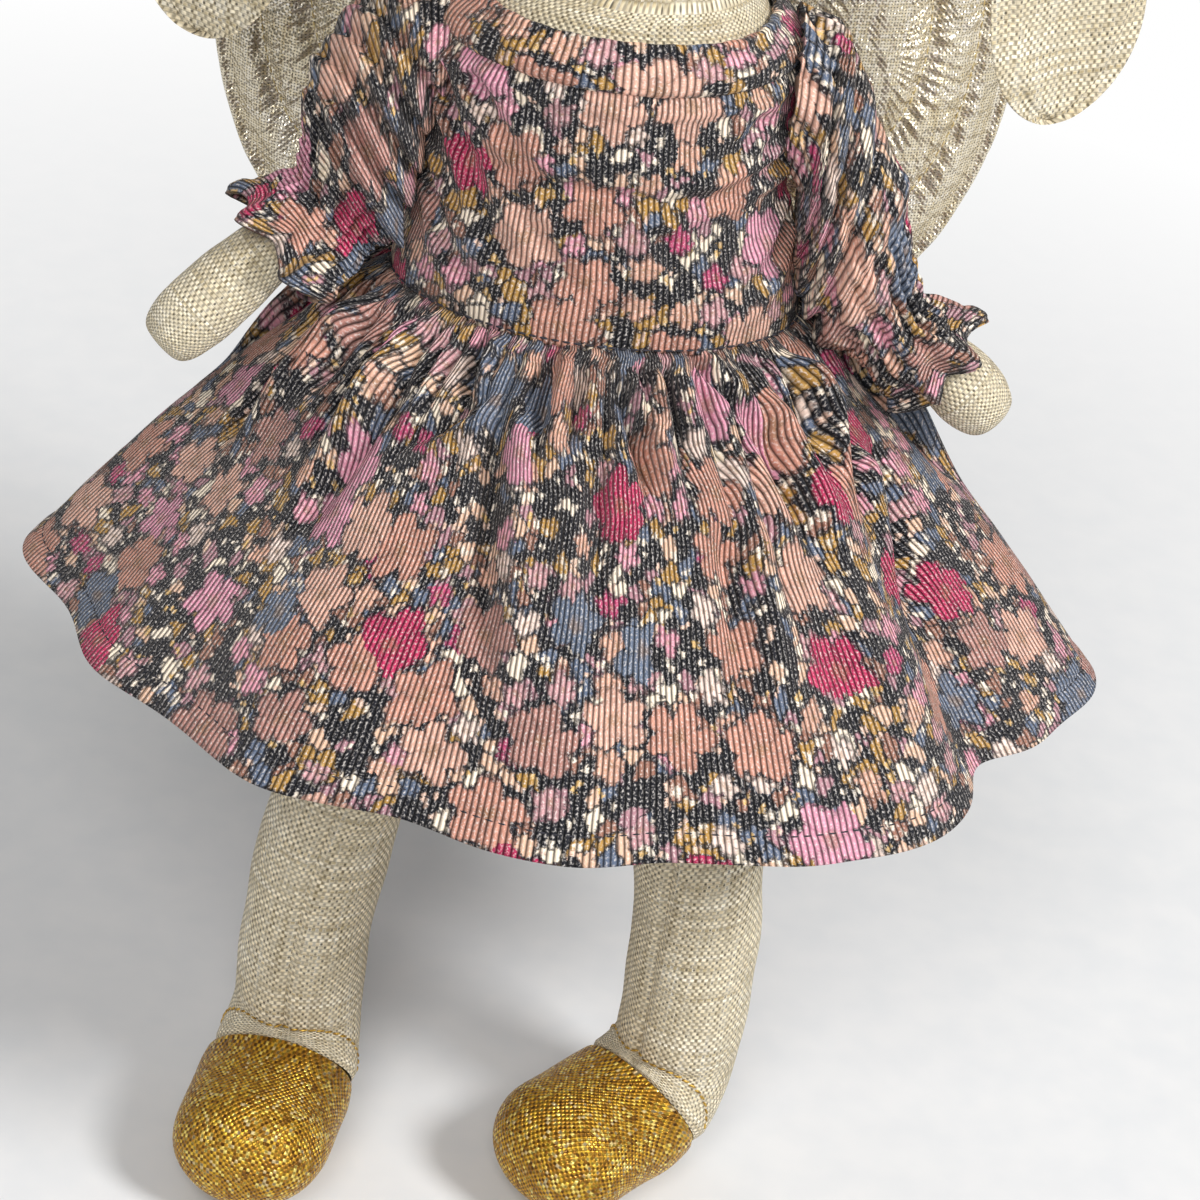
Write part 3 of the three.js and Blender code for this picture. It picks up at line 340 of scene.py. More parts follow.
def floral_needlecord():
    """Cotton needlecord, 21 wales to the inch: rounded pile ridges with a painted highlight on their crests,
    flecks of painted sheen along them and painted shade in the valleys between them, with a dense print of
    soft-edged flowers and small leaves on a navy ground."""
    material, tree = new_finish("printed_cotton_needlecord")
    flat = add(tree, "UVMap", uv_map="cloth")[0]
    drift = add(tree, "TexNoise", {"Vector": flat, "Scale": 1 / WALE_DRIFT, "Detail": 1.0})[0]
    cloth = add(tree, "SeparateXYZ", {0: flat})
    across = add(tree, "Math", {0: drift, 1: 0.9 * MM, 2: cloth[0]}, operation="MULTIPLY_ADD")[0]
    count = add(tree, "Math", {0: across, 1: WALE}, operation="DIVIDE")[0]
    index = add(tree, "Math", {0: count}, operation="FLOOR")[0]
    half_turns = add(tree, "Math", {0: count, 1: math.pi}, operation="MULTIPLY")[0]
    swing = add(tree, "Math", {0: half_turns}, operation="SINE")[0]
    wale = add(tree, "Math", {0: swing}, operation="ABSOLUTE")[0]
    slip = add(tree, "TexWhiteNoise", {"W": index}, noise_dimensions="1D")[0]
    along = add(tree, "Math", {0: slip, 1: 1.3 * MM, 2: cloth[1]}, operation="MULTIPLY_ADD")[0]
    straight = add(tree, "CombineXYZ", {0: across, 1: along})[0]
    bleed = add(tree, "TexNoise", {"Vector": straight, "Scale": 1 / INK_BLEED, "Detail": 4.0,
                                   "Roughness": 0.68})
    inked_at = add(tree, "VectorMath", {0: bleed[1], 1: (5.0 * MM, 5.0 * MM, 0.0), 2: straight},
                   operation="MULTIPLY_ADD")[0]

    leaf = add(tree, "TexVoronoi", {"Vector": inked_at, "Scale": 1 / LEAF}, voronoi_dimensions="2D")
    leaf_draw = add(tree, "SeparateColor", {0: leaf["Color"]})
    leaf_ink = add(tree, "ValToRGB", {0: leaf_draw[0]}, between="CONSTANT", stops=[
        (0.0, "#14151C"), (0.28, "#8E6454"), (0.38, "#A57E40"), (0.5, "#CFA98F"), (0.58, "#566175"),
        (0.7, "#16171E"), (0.84, "#E6D6C0"), (0.92, "#A2767F"),
    ])[0]
    to_edge = add(tree, "TexVoronoi", {"Vector": inked_at, "Scale": 1 / LEAF}, voronoi_dimensions="2D",
                  feature="DISTANCE_TO_EDGE")[0]
    outline = add(tree, "MapRange", {0: to_edge, 1: 0.15, 2: 0.06, 4: 0.9})[0]
    ink = add(tree, "Mix", {0: outline, 6: leaf_ink, 7: colour("#191A21")}, data_type="RGBA")[2]
    dots = [(0.0, "#E6D8C6"), (0.55, "#C9A56A"), (0.75, "#D9B7A3")]
    small = [(0.0, "#D2909F"), (0.3, "#DFC7BA"), (0.5, "#BE8F92"), (0.68, "#B0446A"), (0.8, "#CE9E88")]
    large = [(0.0, "#BC8674"), (0.32, "#CFA08D"), (0.52, "#AE2C55"), (0.7, "#A97A70"), (0.82, "#CC8A9E"),
             (0.93, "#5E697C")]
    for spacing, radius, stops, share, rim_ink in (
        (2.5 * MM, 0.85 * MM, dots, 0.35, 0.0),
        (8.5 * MM, 3.6 * MM, small, 0.5, 0.8),
        (17.0 * MM, 8.2 * MM, large, 0.66, 0.95),
    ):
        cell = add(tree, "TexVoronoi", {"Vector": inked_at, "Scale": 1 / spacing, "Randomness": 0.85},
                   voronoi_dimensions="2D")
        draw = add(tree, "SeparateColor", {0: cell["Color"]})
        off_middle = add(tree, "VectorMath", {0: inked_at, 1: cell["Position"]}, operation="SUBTRACT")[0]
        from_middle = add(tree, "VectorMath", {0: off_middle}, operation="LENGTH")[1]
        spread = add(tree, "SeparateXYZ", {0: off_middle})
        bearing = add(tree, "Math", {0: spread[1], 1: spread[0]}, operation="ARCTAN2")[0]
        twist = add(tree, "Math", {0: draw[1], 1: TURN}, operation="MULTIPLY")[0]
        petal_turn = add(tree, "Math", {0: bearing, 1: 2.5, 2: twist}, operation="MULTIPLY_ADD")[0]
        petal_wave = add(tree, "Math", {0: petal_turn}, operation="COSINE")[0]
        petal = add(tree, "Math", {0: petal_wave}, operation="ABSOLUTE")[0]
        rim = add(tree, "Math", {0: petal, 1: 0.34 * radius, 2: 0.5 * radius}, operation="MULTIPLY_ADD")[0]
        grown = add(tree, "Math", {0: draw[1], 1: 0.24 * radius, 2: rim}, operation="MULTIPLY_ADD")[0]
        past_rim = add(tree, "Math", {0: from_middle, 1: grown}, operation="SUBTRACT")[0]
        inside = add(tree, "MapRange", {0: past_rim, 1: 0.25 * MM, 2: -0.25 * MM})[0]
        chosen = add(tree, "Math", {0: draw[2], 1: share}, operation="LESS_THAN")[0]
        covered = add(tree, "Math", {0: inside, 1: chosen}, operation="MULTIPLY")[0]
        shade = add(tree, "ValToRGB", {0: draw[0]}, between="CONSTANT", stops=stops)[0]
        vein = add(tree, "MapRange", {0: petal, 1: 0.0, 2: 0.4, 3: 0.66, 4: 1.0})[0]
        mottle = add(tree, "MapRange", {0: bleed[0], 1: 0.35, 2: 0.65, 3: 0.74, 4: 1.2})[0]
        strength = add(tree, "Math", {0: vein, 1: mottle}, operation="MULTIPLY")[0]
        petal_ink = add(tree, "VectorMath", {0: shade, 3: strength}, operation="SCALE")[0]
        heart = add(tree, "MapRange", {0: from_middle, 1: 0.28 * radius, 2: 0.12 * radius, 4: 0.5})[0]
        marked = add(tree, "Mix", {0: heart, 6: petal_ink, 7: colour("#8A6B4A")}, data_type="RGBA")[2]
        from_rim = add(tree, "Math", {0: past_rim}, operation="ABSOLUTE")[0]
        line = add(tree, "MapRange", {0: from_rim, 1: 1.0 * MM, 2: 0.4 * MM, 4: rim_ink})[0]
        broken = add(tree, "MapRange", {0: bleed[0], 1: 0.4, 2: 0.53})[0]
        patchy = add(tree, "Math", {0: line, 1: broken}, operation="MULTIPLY")[0]
        drawn = add(tree, "Math", {0: patchy, 1: chosen}, operation="MULTIPLY")[0]
        ink = add(tree, "Mix", {0: covered, 6: ink, 7: marked}, data_type="RGBA")[2]
        ink = add(tree, "Mix", {0: drawn, 6: ink, 7: colour("#1C1C24")}, data_type="RGBA")[2]

    tufts_at = add(tree, "VectorMath", {0: flat, 1: (1.0, 0.75, 1.0)}, operation="MULTIPLY")[0]
    pile = add(tree, "TexNoise", {"Vector": tufts_at, "Scale": 1 / TUFT, "Detail": 2.0})[0]
    # Painted shade and highlight: each wale's colour is darkened towards the valleys beside it and lightened
    # on its crest
    painted_wale_shade_and_highlight = add(tree, "MapRange", {0: wale, 1: 0.05, 2: 0.75, 3: 0.22, 4: 1.32})[0]
    surface_tone = add(tree, "VectorMath", {0: ink, 3: painted_wale_shade_and_highlight}, operation="SCALE")[0]
    # Painted sheen: pale flecks mixed in along the wale crests where the pile noise is high
    painted_sheen_fleck = add(tree, "MapRange", {0: pile, 1: 0.49, 2: 0.68, 4: 0.66})[0]
    crest = add(tree, "Math", {0: wale, 1: 2.0}, operation="POWER")[0]
    crest_painted_sheen = add(tree, "Math", {0: painted_sheen_fleck, 1: crest}, operation="MULTIPLY")[0]
    with_painted_sheen = add(tree, "Mix", {0: crest_painted_sheen, 6: surface_tone, 7: colour("#FBF3EC")}, data_type="RGBA")[2]
    rough_wale = add(tree, "Math", {0: pile, 1: 0.4, 2: wale}, operation="MULTIPLY_ADD")[0]
    relief = add(tree, "Bump", {"Height": rough_wale, "Distance": 0.5 * MM, "Strength": 1.0})[0]
    surface = add(tree, "BsdfPrincipled", {
        "Base Color": with_painted_sheen, "Roughness": 0.75, "Normal": relief, "Specular IOR Level": 0.3,
        "Sheen Weight": 0.1, "Sheen Roughness": 0.3, "Sheen Tint": colour("#F6ECE6"),
    })[0]
    add(tree, "OutputMaterial", {"Surface": surface})
    return material


Weave = namedtuple("Weave", "crossing gap draw slub row")


def plain_weave(tree, across, along, wander):
    """Threads over and under each other: which one is on top, the gaps at the corners between four
    threads, a number drawn for each crossing, thick and thin threads, and the cross threads' round backs."""
    flat = add(tree, "UVMap", uv_map="cloth")[0]
    drift = add(tree, "TexNoise", {"Vector": flat, "Scale": 1 / THREAD_DRIFT, "Detail": 2.0})[1]
    moved = add(tree, "VectorMath", {0: drift, 1: (wander, wander, 0.0), 2: flat},
                operation="MULTIPLY_ADD")[0]
    counted = add(tree, "VectorMath", {0: moved, 1: (1 / across, 1 / along, 0.0)}, operation="MULTIPLY")[0]
    turned = add(tree, "VectorMath", {0: counted, 3: math.pi}, operation="SCALE")[0]
    waves = add(tree, "VectorMath", {0: turned}, operation="SINE")[0]
    threads = add(tree, "SeparateXYZ", {0: waves})
    crossing = add(tree, "Math", {0: threads[0], 1: threads[1]}, operation="MULTIPLY")[0]
    crowns = add(tree, "VectorMath", {0: waves}, operation="ABSOLUTE")[0]
    crown = add(tree, "SeparateXYZ", {0: crowns})
    gap = add(tree, "Math", {0: crown[0], 1: crown[1]}, operation="MAXIMUM")[0]
    square = add(tree, "VectorMath", {0: counted}, operation="FLOOR")[0]
    draw = add(tree, "TexWhiteNoise", {"Vector": square}, noise_dimensions="2D")
    long_way = add(tree, "VectorMath", {0: flat, 1: (0.7 / across, 1 / SLUB_LENGTH, 0.0)},
                   operation="MULTIPLY")[0]
    cross_way = add(tree, "VectorMath", {0: flat, 1: (1 / SLUB_LENGTH, 0.7 / along, 0.0)},
                    operation="MULTIPLY")[0]
    warp = add(tree, "TexNoise", {"Vector": long_way, "Scale": 1.0, "Detail": 2.0})[0]
    weft = add(tree, "TexNoise", {"Vector": cross_way, "Scale": 1.0, "Detail": 2.0})[0]
    over = add(tree, "Math", {0: crossing, 1: 0.0}, operation="GREATER_THAN")[0]
    slub = add(tree, "Mix", {0: over, 2: warp, 3: weft})[0]
    return Weave(crossing, gap, draw, slub, crown[1])


def natural_linen():
    """Undyed flax in plain weave: dry oatmeal threads of uneven thickness, the cross threads drawn as pale
    ovals with a painted highlight on their round backs, painted shade on the threads beneath them and in the
    gaps between the rows, with no shine. The weave is drawn a little coarser than it is, so that it shows."""
    material, tree = new_finish("natural_linen")
    weave = plain_weave(tree, 0.8 * MM, 0.92 * MM, 0.8 * MM)
    body = add(tree, "ValToRGB", {0: weave.slub}, stops=[
        (0.3, "#B5A47F"), (0.45, "#D8CAAC"), (0.58, "#E6DABF"), (0.72, "#F6EEDC"),
    ])[0]
    uneven = add(tree, "MapRange", {0: weave.draw[0], 3: 0.1, 4: 0.62})[0]
    # Painted shade: the threads beneath are darkened, by a random amount for each crossing
    side = add(tree, "MapRange", {0: weave.crossing, 1: -0.8, 2: 0.0, 3: uneven, 4: 1.0})[0]
    # Painted shade in the gaps between the cross threads, and a painted highlight on their round backs
    row = add(tree, "MapRange", {0: weave.row, 1: 0.05, 2: 0.6, 3: 0.55, 4: 1.06})[0]
    bright = add(tree, "MapRange", {0: weave.draw[0], 3: 1.2, 4: 0.8})[0]
    painted_weave_shade = add(tree, "Math", {0: side, 1: row}, operation="MULTIPLY")[0]
    shaded = add(tree, "Math", {0: painted_weave_shade, 1: bright}, operation="MULTIPLY")[0]
    surface_tone = add(tree, "VectorMath", {0: body, 3: shaded}, operation="SCALE")[0]
    raised = add(tree, "MapRange", {0: weave.crossing, 1: -0.8, 2: 0.6})[0]
    thick = add(tree, "Math", {0: weave.slub, 1: 0.5, 2: raised}, operation="MULTIPLY_ADD")[0]
    relief = add(tree, "Bump", {"Height": thick, "Distance": 0.28 * MM, "Strength": 0.8})[0]
    surface = add(tree, "BsdfPrincipled", {
        "Base Color": surface_tone, "Roughness": 0.94, "Normal": relief, "Specular IOR Level": 0.2,
        "Sheen Weight": 0.12, "Sheen Roughness": 0.6,
    })[0]
    add(tree, "OutputMaterial", {"Surface": surface})
    return material


def champagne_lame():
    """Thin metallic cloth: pale-gold threads that flash white where the quilting tilts them, with matt gaps
    at the thread corners darkened brown by painted shade. The weave is drawn a fifth coarser than it is, so
    that it shows."""
    material, tree = new_finish("champagne_lame")
    weave = plain_weave(tree, 0.66 * MM, 0.66 * MM, 0.2 * MM)
    body = add(tree, "ValToRGB", {0: weave.slub}, stops=[
        (0.3, "#D0BE96"), (0.45, "#E4D8BC"), (0.6, "#F0E7D4"), (0.75, "#FBF6EC"),
    ])[0]
    # Painted shade: the gaps at the thread corners are darkened strongly
    painted_gap_shade = add(tree, "MapRange", {0: weave.gap, 1: 0.3, 2: 0.85, 3: 0.08, 4: 1.0})[0]
    surface_tone = add(tree, "VectorMath", {0: body, 3: painted_gap_shade}, operation="SCALE")[0]
    metal = add(tree, "MapRange", {0: weave.gap, 1: 0.4, 2: 0.8, 3: 0.05, 4: 0.58})[0]
    dull = add(tree, "MapRange", {0: weave.slub, 1: 0.35, 2: 0.65, 3: 0.36, 4: 0.2})[0]
    flat = add(tree, "UVMap", uv_map="cloth")[0]
    creases = add(tree, "TexNoise", {"Vector": flat, "Scale": 1 / LAME_CREASE, "Detail": 2.0})[0]
    crumple = add(tree, "Bump", {"Height": creases, "Distance": 2.2 * MM, "Strength": 0.8})[0]
    relief = add(tree, "Bump", {"Height": weave.crossing, "Distance": 0.12 * MM, "Strength": 0.6,
                                "Normal": crumple})[0]
    surface = add(tree, "BsdfPrincipled", {"Base Color": surface_tone, "Metallic": metal, "Roughness": dull,
                                           "Normal": relief})[0]
    add(tree, "OutputMaterial", {"Surface": surface})
    return material


def gold_lurex():
    """Linen and metallic yarn in one plain weave: gold threads of random tone whose palest are painted
    glints, painted shade on the threads beneath, and a few bare flax threads."""
    material, tree = new_finish("gold_lurex_weave")
    weave = plain_weave(tree, 0.7 * MM, 0.7 * MM, 1.1 * MM)
    # A random tone for each crossing of the gold threads, its palest end a painted glint
    thread_tone_and_painted_glint = add(tree, "ValToRGB", {0: weave.draw[0]}, stops=[
        (0.0, "#8A5C18"), (0.25, "#B5822A"), (0.6, "#CE9A2E"), (0.82, "#EABD3F"), (0.96, "#FBE07C"),
    ])[0]
    tint = add(tree, "SeparateColor", {0: weave.draw[1]})
    bare = add(tree, "MapRange", {0: tint[1], 1: 0.93, 2: 0.96, 4: 0.8})[0]
    mixed = add(tree, "Mix", {0: bare, 6: thread_tone_and_painted_glint, 7: colour("#CDB988")}, data_type="RGBA")[2]
    # Painted shade: the threads beneath are darkened
    side = add(tree, "MapRange", {0: weave.crossing, 1: -0.6, 2: 0.35, 3: 0.34, 4: 1.1})[0]
    surface_tone = add(tree, "VectorMath", {0: mixed, 3: side}, operation="SCALE")[0]
    metal = add(tree, "MapRange", {0: bare, 3: 0.72, 4: 0.1})[0]
    dull = add(tree, "MapRange", {0: tint[2], 3: 0.24, 4: 0.48})[0]
    raised = add(tree, "MapRange", {0: weave.crossing, 1: -0.7, 2: 0.8})[0]
    relief = add(tree, "Bump", {"Height": raised, "Distance": 0.3 * MM, "Strength": 0.9})[0]
    surface = add(tree, "BsdfPrincipled", {"Base Color": surface_tone, "Metallic": metal, "Roughness": dull,
                                           "Normal": relief})[0]
    add(tree, "OutputMaterial", {"Surface": surface})
    return material


def sewing_thread(name, dark, light, metal=0.0, dull=0.7):
    """Twisted sewing thread: fine slanting ply lines, lighter and darker at random."""
    material, tree = new_finish(name)
    place = add(tree, "TexCoord")["Object"]
    ply = add(tree, "TexNoise", {"Vector": place, "Scale": 1 / PLY, "Detail": 2.0})[0]
    surface_tone = add(tree, "ValToRGB", {0: ply}, stops=[(0.35, dark), (0.65, light)])[0]
    relief = add(tree, "Bump", {"Height": ply, "Distance": 0.1 * MM})[0]
    surface = add(tree, "BsdfPrincipled", {"Base Color": surface_tone, "Metallic": metal, "Roughness": dull,
                                           "Normal": relief})[0]
    add(tree, "OutputMaterial", {"Surface": surface})
    return material


def glass_bead():
    """Pressed black glass: deep, wet-looking gloss with faint moulding ripples."""
    material, tree = new_finish("black_glass_bead")
    place = add(tree, "TexCoord")["Object"]
    ripple = add(tree, "TexNoise", {"Vector": place, "Scale": 1 / GLASS_RIPPLE, "Detail": 1.0})[0]
    surface_tone = add(tree, "ValToRGB", {0: ripple}, stops=[(0.3, "#100D0B"), (0.7, "#1D1814")])[0]
    dull = add(tree, "MapRange", {0: ripple, 3: 0.06, 4: 0.14})[0]
    surface = add(tree, "BsdfPrincipled", {"Base Color": surface_tone, "Roughness": dull, "Coat Weight": 0.6})[0]
    add(tree, "OutputMaterial", {"Surface": surface})
    return material


def plated_steel():
    """Nickel-plated pressed steel: cool grey, lightly scuffed by use."""
    material, tree = new_finish("nickel_plated_steel")
    place = add(tree, "TexCoord")["Object"]
    scuff = add(tree, "TexNoise", {"Vector": place, "Scale": 1 / SCUFF, "Detail": 4.0})[0]
    surface_tone = add(tree, "ValToRGB", {0: scuff}, stops=[(0.3, "#A9ACB0"), (0.7, "#CDD0D3")])[0]
    dull = add(tree, "MapRange", {0: scuff, 3: 0.2, 4: 0.4})[0]
    surface = add(tree, "BsdfPrincipled", {"Base Color": surface_tone, "Metallic": 1.0, "Roughness": dull})[0]
    add(tree, "OutputMaterial", {"Surface": surface})
    return material


NEEDLECORD = floral_needlecord()
LINEN = natural_linen()
LAME = champagne_lame()
LUREX = gold_lurex()
NAVY_THREAD = sewing_thread("navy_polyester_thread", "#17171D", "#34333D")
GOLD_THREAD = sewing_thread("gold_metallic_thread", "#7E5A1E", "#E2BC5E", 0.7, 0.35)
WING_THREAD = sewing_thread("champagne_thread", "#B79C5E", "#E6D6A4", 0.3, 0.45)
LINEN_THREAD = sewing_thread("unbleached_linen_thread", "#7E7055", "#B5A788")
NOSE_COTTON = sewing_thread("stranded_embroidery_cotton", "#7C5048", "#A8756A")
BEAD = glass_bead()
STEEL = plated_steel()


# Making of pieces


def finish_piece(name, bm, material):
    mesh = bpy.data.meshes.new(name)
    bm.to_mesh(mesh)
    bm.free()
    for face in mesh.polygons:
        face.use_smooth = True
    mesh.materials.append(material)
    piece = bpy.data.objects.new(name, mesh)
    bpy.context.scene.collection.objects.link(piece)
    return piece


def cloth_piece(name, across, along, place, flat, material):
    """A piece from a grid: place gives each point in millimetres, flat its spot on the uncut cloth."""
    bm = bmesh.new()
    layer = bm.loops.layers.uv.new("cloth")
    bmesh.ops.create_grid(bm, x_segments=across, y_segments=along, size=0.5)
    for face in bm.faces:
        for loop in face.loops:
            loop[layer].uv = Vector(flat(loop.vert.co.x + 0.5, loop.vert.co.y + 0.5)) * MM
    for vert in bm.verts:
        vert.co = place(vert.co.x + 0.5, vert.co.y + 0.5) * MM
    bmesh.ops.remove_doubles(bm, verts=bm.verts, dist=0.002 * MM)
    bmesh.ops.recalc_face_normals(bm, faces=bm.faces)
    return finish_piece(name, bm, material)


def give_thickness(piece, thickness):
    cloth = piece.modifiers.new("cloth", "SOLIDIFY")
    cloth.thickness = thickness * MM
    cloth.offset = -1


def surface_at(place, u, v):
    """A point of a grid piece and the way out of it there."""
    step = 0.002
    point = place(u, v)
    along_u = place(u + step, v) - place(u - step, v)
    along_v = place(u, v + step) - place(u, v - step)
    return point, along_u.cross(along_v).normalized()


def frame_at(point, along, across, out):
    """A place in metres and the three ways that it lies."""
    return Matrix.Translation(point * MM) @ Matrix((along, across, out)).transposed().to_4x4()


def stitch_row(name, run, length, gap, thickness, lift, material, slant=0.0):
    """Stitches along a run of points with their outward directions, each a small sewn bead of thread."""
    path = Path([point for point, _ in run])
    outs = [out for _, out in run]
    bead = Matrix.Diagonal((length / 2 * MM, thickness / 2 * MM, thickness / 2 * MM, 1))
    bead = bead @ Matrix.Rotation(TURN / 4, 4, "Y")
    bm = bmesh.new()
    count = max(1, round(path.length / (length + gap)))
    for i in range(count):
        share = (i + 0.5) / count
        out = outs[round(share * (len(outs) - 1))]
        heading = path.heading(share)
        side = out.cross(heading).normalized()
        heading = (heading * math.cos(slant) + side * math.sin(slant)).normalized()
        side = out.cross(heading).normalized()
        laid = frame_at(path.at(share) + out * lift, heading, side, out)
        bmesh.ops.create_uvsphere(bm, u_segments=8, v_segments=5, radius=1, matrix=laid @ bead)
    bmesh.ops.recalc_face_normals(bm, faces=bm.faces)
    return finish_piece(name, bm, material)


# Torso and dress body

shoulder_path = curve_path(SHOULDER_CURVE)
SIDE_LENGTH = SHOULDER_HEIGHT - BOTTOM_ROUND
PROFILE_LENGTH = SIDE_LENGTH + shoulder_path.length


def lean(height):
    """How far the upper body settles to its right, back to none at the neck ball."""
    return -BODY_LEAN * ease(height, 40, 92) * (1 - ease(height, 100, 108))


def torso_at(length):
    """Half-width, half-depth and height at a length up the torso's side."""
    if length > SIDE_LENGTH:
        return shoulder_path.at((length - SIDE_LENGTH) / shoulder_path.length)
    height = BOTTOM_ROUND + length
    wide = mix(HIP_HALF_WIDTH, CHEST_HALF_WIDTH, ease(height, WAIST_HEIGHT, CHEST_HEIGHT))
    return Vector((wide, TORSO_HALF_DEPTH, height))


def on_dress(angle, length, stand_off):
    cut = torso_at(length)
    x = (cut.x + stand_off) * math.sin(angle) + lean(cut.z)
    return Vector((x, -(cut.y + stand_off) * math.cos(angle), cut.z))


def neckline_at(angle):
    return mix(NECKLINE_FRONT, NECKLINE_BACK, (1 - math.cos(angle)) / 2)


def laid_flat(size, shift=(0, 0)):
    """Spots on the uncut cloth for a piece that is the whole of a rectangle of it."""
    return lambda u, v: (u * size[0] + shift[0], v * size[1] + shift[1])


def torso_place(u, v):
    """Out over the flat seat, round its edge, up the sides inside the dress and over the neck ball."""
    angle = (u - 0.5) * TURN
    if v < SEAT_END:
        grow = v / SEAT_END
        y = SEAT_BACK - SEAT_HALF_DEPTH * grow * math.cos(angle)
        return Vector((SEAT_HALF_WIDTH * grow * math.sin(angle), y, 0))
    if v < BOTTOM_END:
        bend = (v - SEAT_END) / (BOTTOM_END - SEAT_END) * TURN / 4
        grow = math.sin(bend)
        wide = mix(SEAT_HALF_WIDTH, HIP_HALF_WIDTH - 1, grow)
        deep = mix(SEAT_HALF_DEPTH, TORSO_HALF_DEPTH - 1, grow)
        y = SEAT_BACK * (1 - grow) - deep * math.cos(angle)
        return Vector((wide * math.sin(angle), y, BOTTOM_ROUND * (1 - math.cos(bend))))
    if v < SIDES_END:
        length = (v - BOTTOM_END) / (SIDES_END - BOTTOM_END) * PROFILE_LENGTH
        return on_dress(angle, length, -1.0 * (1 - ease(length, 86, 96)))
    bend = mix(TURN / 4, 0, (v - SIDES_END) / (1 - SIDES_END))
    radius = NECK_BALL * math.sin(bend)
    height = NECK_PIVOT_HEIGHT + NECK_BALL * math.cos(bend)
    return Vector((radius * math.sin(angle), -radius * math.cos(angle), height))


torso = cloth_piece("torso_linen", 72, 80, torso_place, laid_flat(TORSO_CLOTH), LINEN)
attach(torso, "torso")
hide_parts("torso_skin", "torso_stuffing")


# Drag folds from the armholes: both ends across and up the front, the depth and the width
BODICE_FOLDS = [
    (-36, 84, -20, 56, 1.3, 1.9), (-26, 86, -10, 68, 1.0, 1.6), (-42, 62, -22, 45, 1.2, 1.8),
    (-12, 60, -2, 46, 0.7, 1.6), (40, 74, 12, 69, 1.1, 1.6), (44, 60, 24, 47, 1.1, 1.8),
    (30, 84, 20, 76, 0.8, 1.6), (10, 62, 16, 48, 0.6, 1.6),
]


def bodice_place(u, v):
    """The waist seam to under the neckband: soft unevenness, a crease across the chest with a swell over
    it, puckers below the band, the drag folds and the ridge at the seam."""
    angle = (u - 0.5) * TURN
    top = neckline_at(angle) - NECKBAND_WIDTH + 1.5
    length = mix(WAIST_HEIGHT - BOTTOM_ROUND - 1, top, v)
    point = on_dress(angle, length, DRESS_OUTSIDE)
    front = hill(angle, 0, 1.1)
    slanted = point.z + 0.06 * point.x
    out = 0.5 + 0.8 * rumple(point, 17, 1)
    out += 0.5 * rumple(Vector((point.x - 0.6 * point.z, point.y, 0)), 9, 2)
    out += front * (0.9 * hill(slanted, 75, 4) - 1.0 * hill(slanted, 70, 1.3))
    out += 0.5 * pleat(19 * u + 0.2 * math.sin(9 * u)) * ease(v, 0.82, 0.95) * (1 - ease(v, 0.97, 1.0))
    spread = Vector((angle * CHEST_HALF_WIDTH, point.z))
    for x0, z0, x1, z1, depth, width in BODICE_FOLDS:
        start, run = Vector((x0, z0)), Vector((x1 - x0, z1 - z0))
        share = min(1.0, max(0.0, (spread - start).dot(run) / run.length_squared))
        off = (spread - start - run * share).length
        out += depth * (1.4 * hill(off, 2.1 * width, width) - hill(off, 0, width)) * (1 - 0.7 * share)
    out += 0.8 * hill(v, 0.925, 0.022) - 0.9 * ease(v, 0.955, 1.0)
    away = Vector((math.sin(angle), -math.cos(angle), 0))
    return point + away * out


bodice = cloth_piece("bodice_needlecord", 176, 60, bodice_place, laid_flat(BODICE_CLOTH), NEEDLECORD)
give_thickness(bodice, 1.1)
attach(bodice, "torso")
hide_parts("bodice_front", "bodice_back_left", "bodice_back_right")


def neckband_place(u, v):
    """Up the outside of the band, over its folded top edge and down inside."""
    angle = (u - 0.5) * TURN
    top = neckline_at(angle)
    ripple = 0.25 * pleat(31 * u) + 0.35 * math.sin(TURN * 5 * u + 1)
    stand = DRESS_OUTSIDE + BAND_STAND
    if v < BAND_OUTSIDE:
        up = v / BAND_OUTSIDE
        length = mix(top - NECKBAND_WIDTH, top - 1, up)
        crown = 0.7 * math.sin(math.pi * up) - 1.3 * hill(up, 0.0, 0.09)
        return on_dress(angle, length, stand + crown + ripple * up)
    if v < BAND_FOLD:
        bend = (v - BAND_OUTSIDE) / (BAND_FOLD - BAND_OUTSIDE) * math.pi
        point = on_dress(angle, top - 1, stand + ripple - BAND_HALF_FOLD * (1 - math.cos(bend)))
        return point + UP * BAND_HALF_FOLD * math.sin(bend)
    down = (v - BAND_FOLD) / (1 - BAND_FOLD)
    return on_dress(angle, top - 1 - 4 * down, stand + ripple * (1 - down) - 2 * BAND_HALF_FOLD)


neckband = cloth_piece("neckband_needlecord", 168, 28, neckband_place,
                       laid_flat(NECKBAND_CLOTH, (NECKBAND_CUT, 0)), NEEDLECORD)
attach(neckband, "torso")
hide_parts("neckband")


def facing_out(run, x=0, y=0):
    """Turns directions that point at an upright line through x and y the other way."""
    turned = []
    for point, out in run:
        from_line = Vector((point.x - x, point.y - y, 0))
        turned.append((point, out if out.dot(from_line) > 0 else -out))
    return turned


neck_run = facing_out([surface_at(neckband_place, u, 0.005) for u in spaced(0, 1, 180)])
neck_seam = stitch_row("neck_seam_stitches", neck_run, 2.0, 0.3, 0.9, -0.2, NAVY_THREAD,
                       slant=0.5)
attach(neck_seam, "torso")

# Skirt

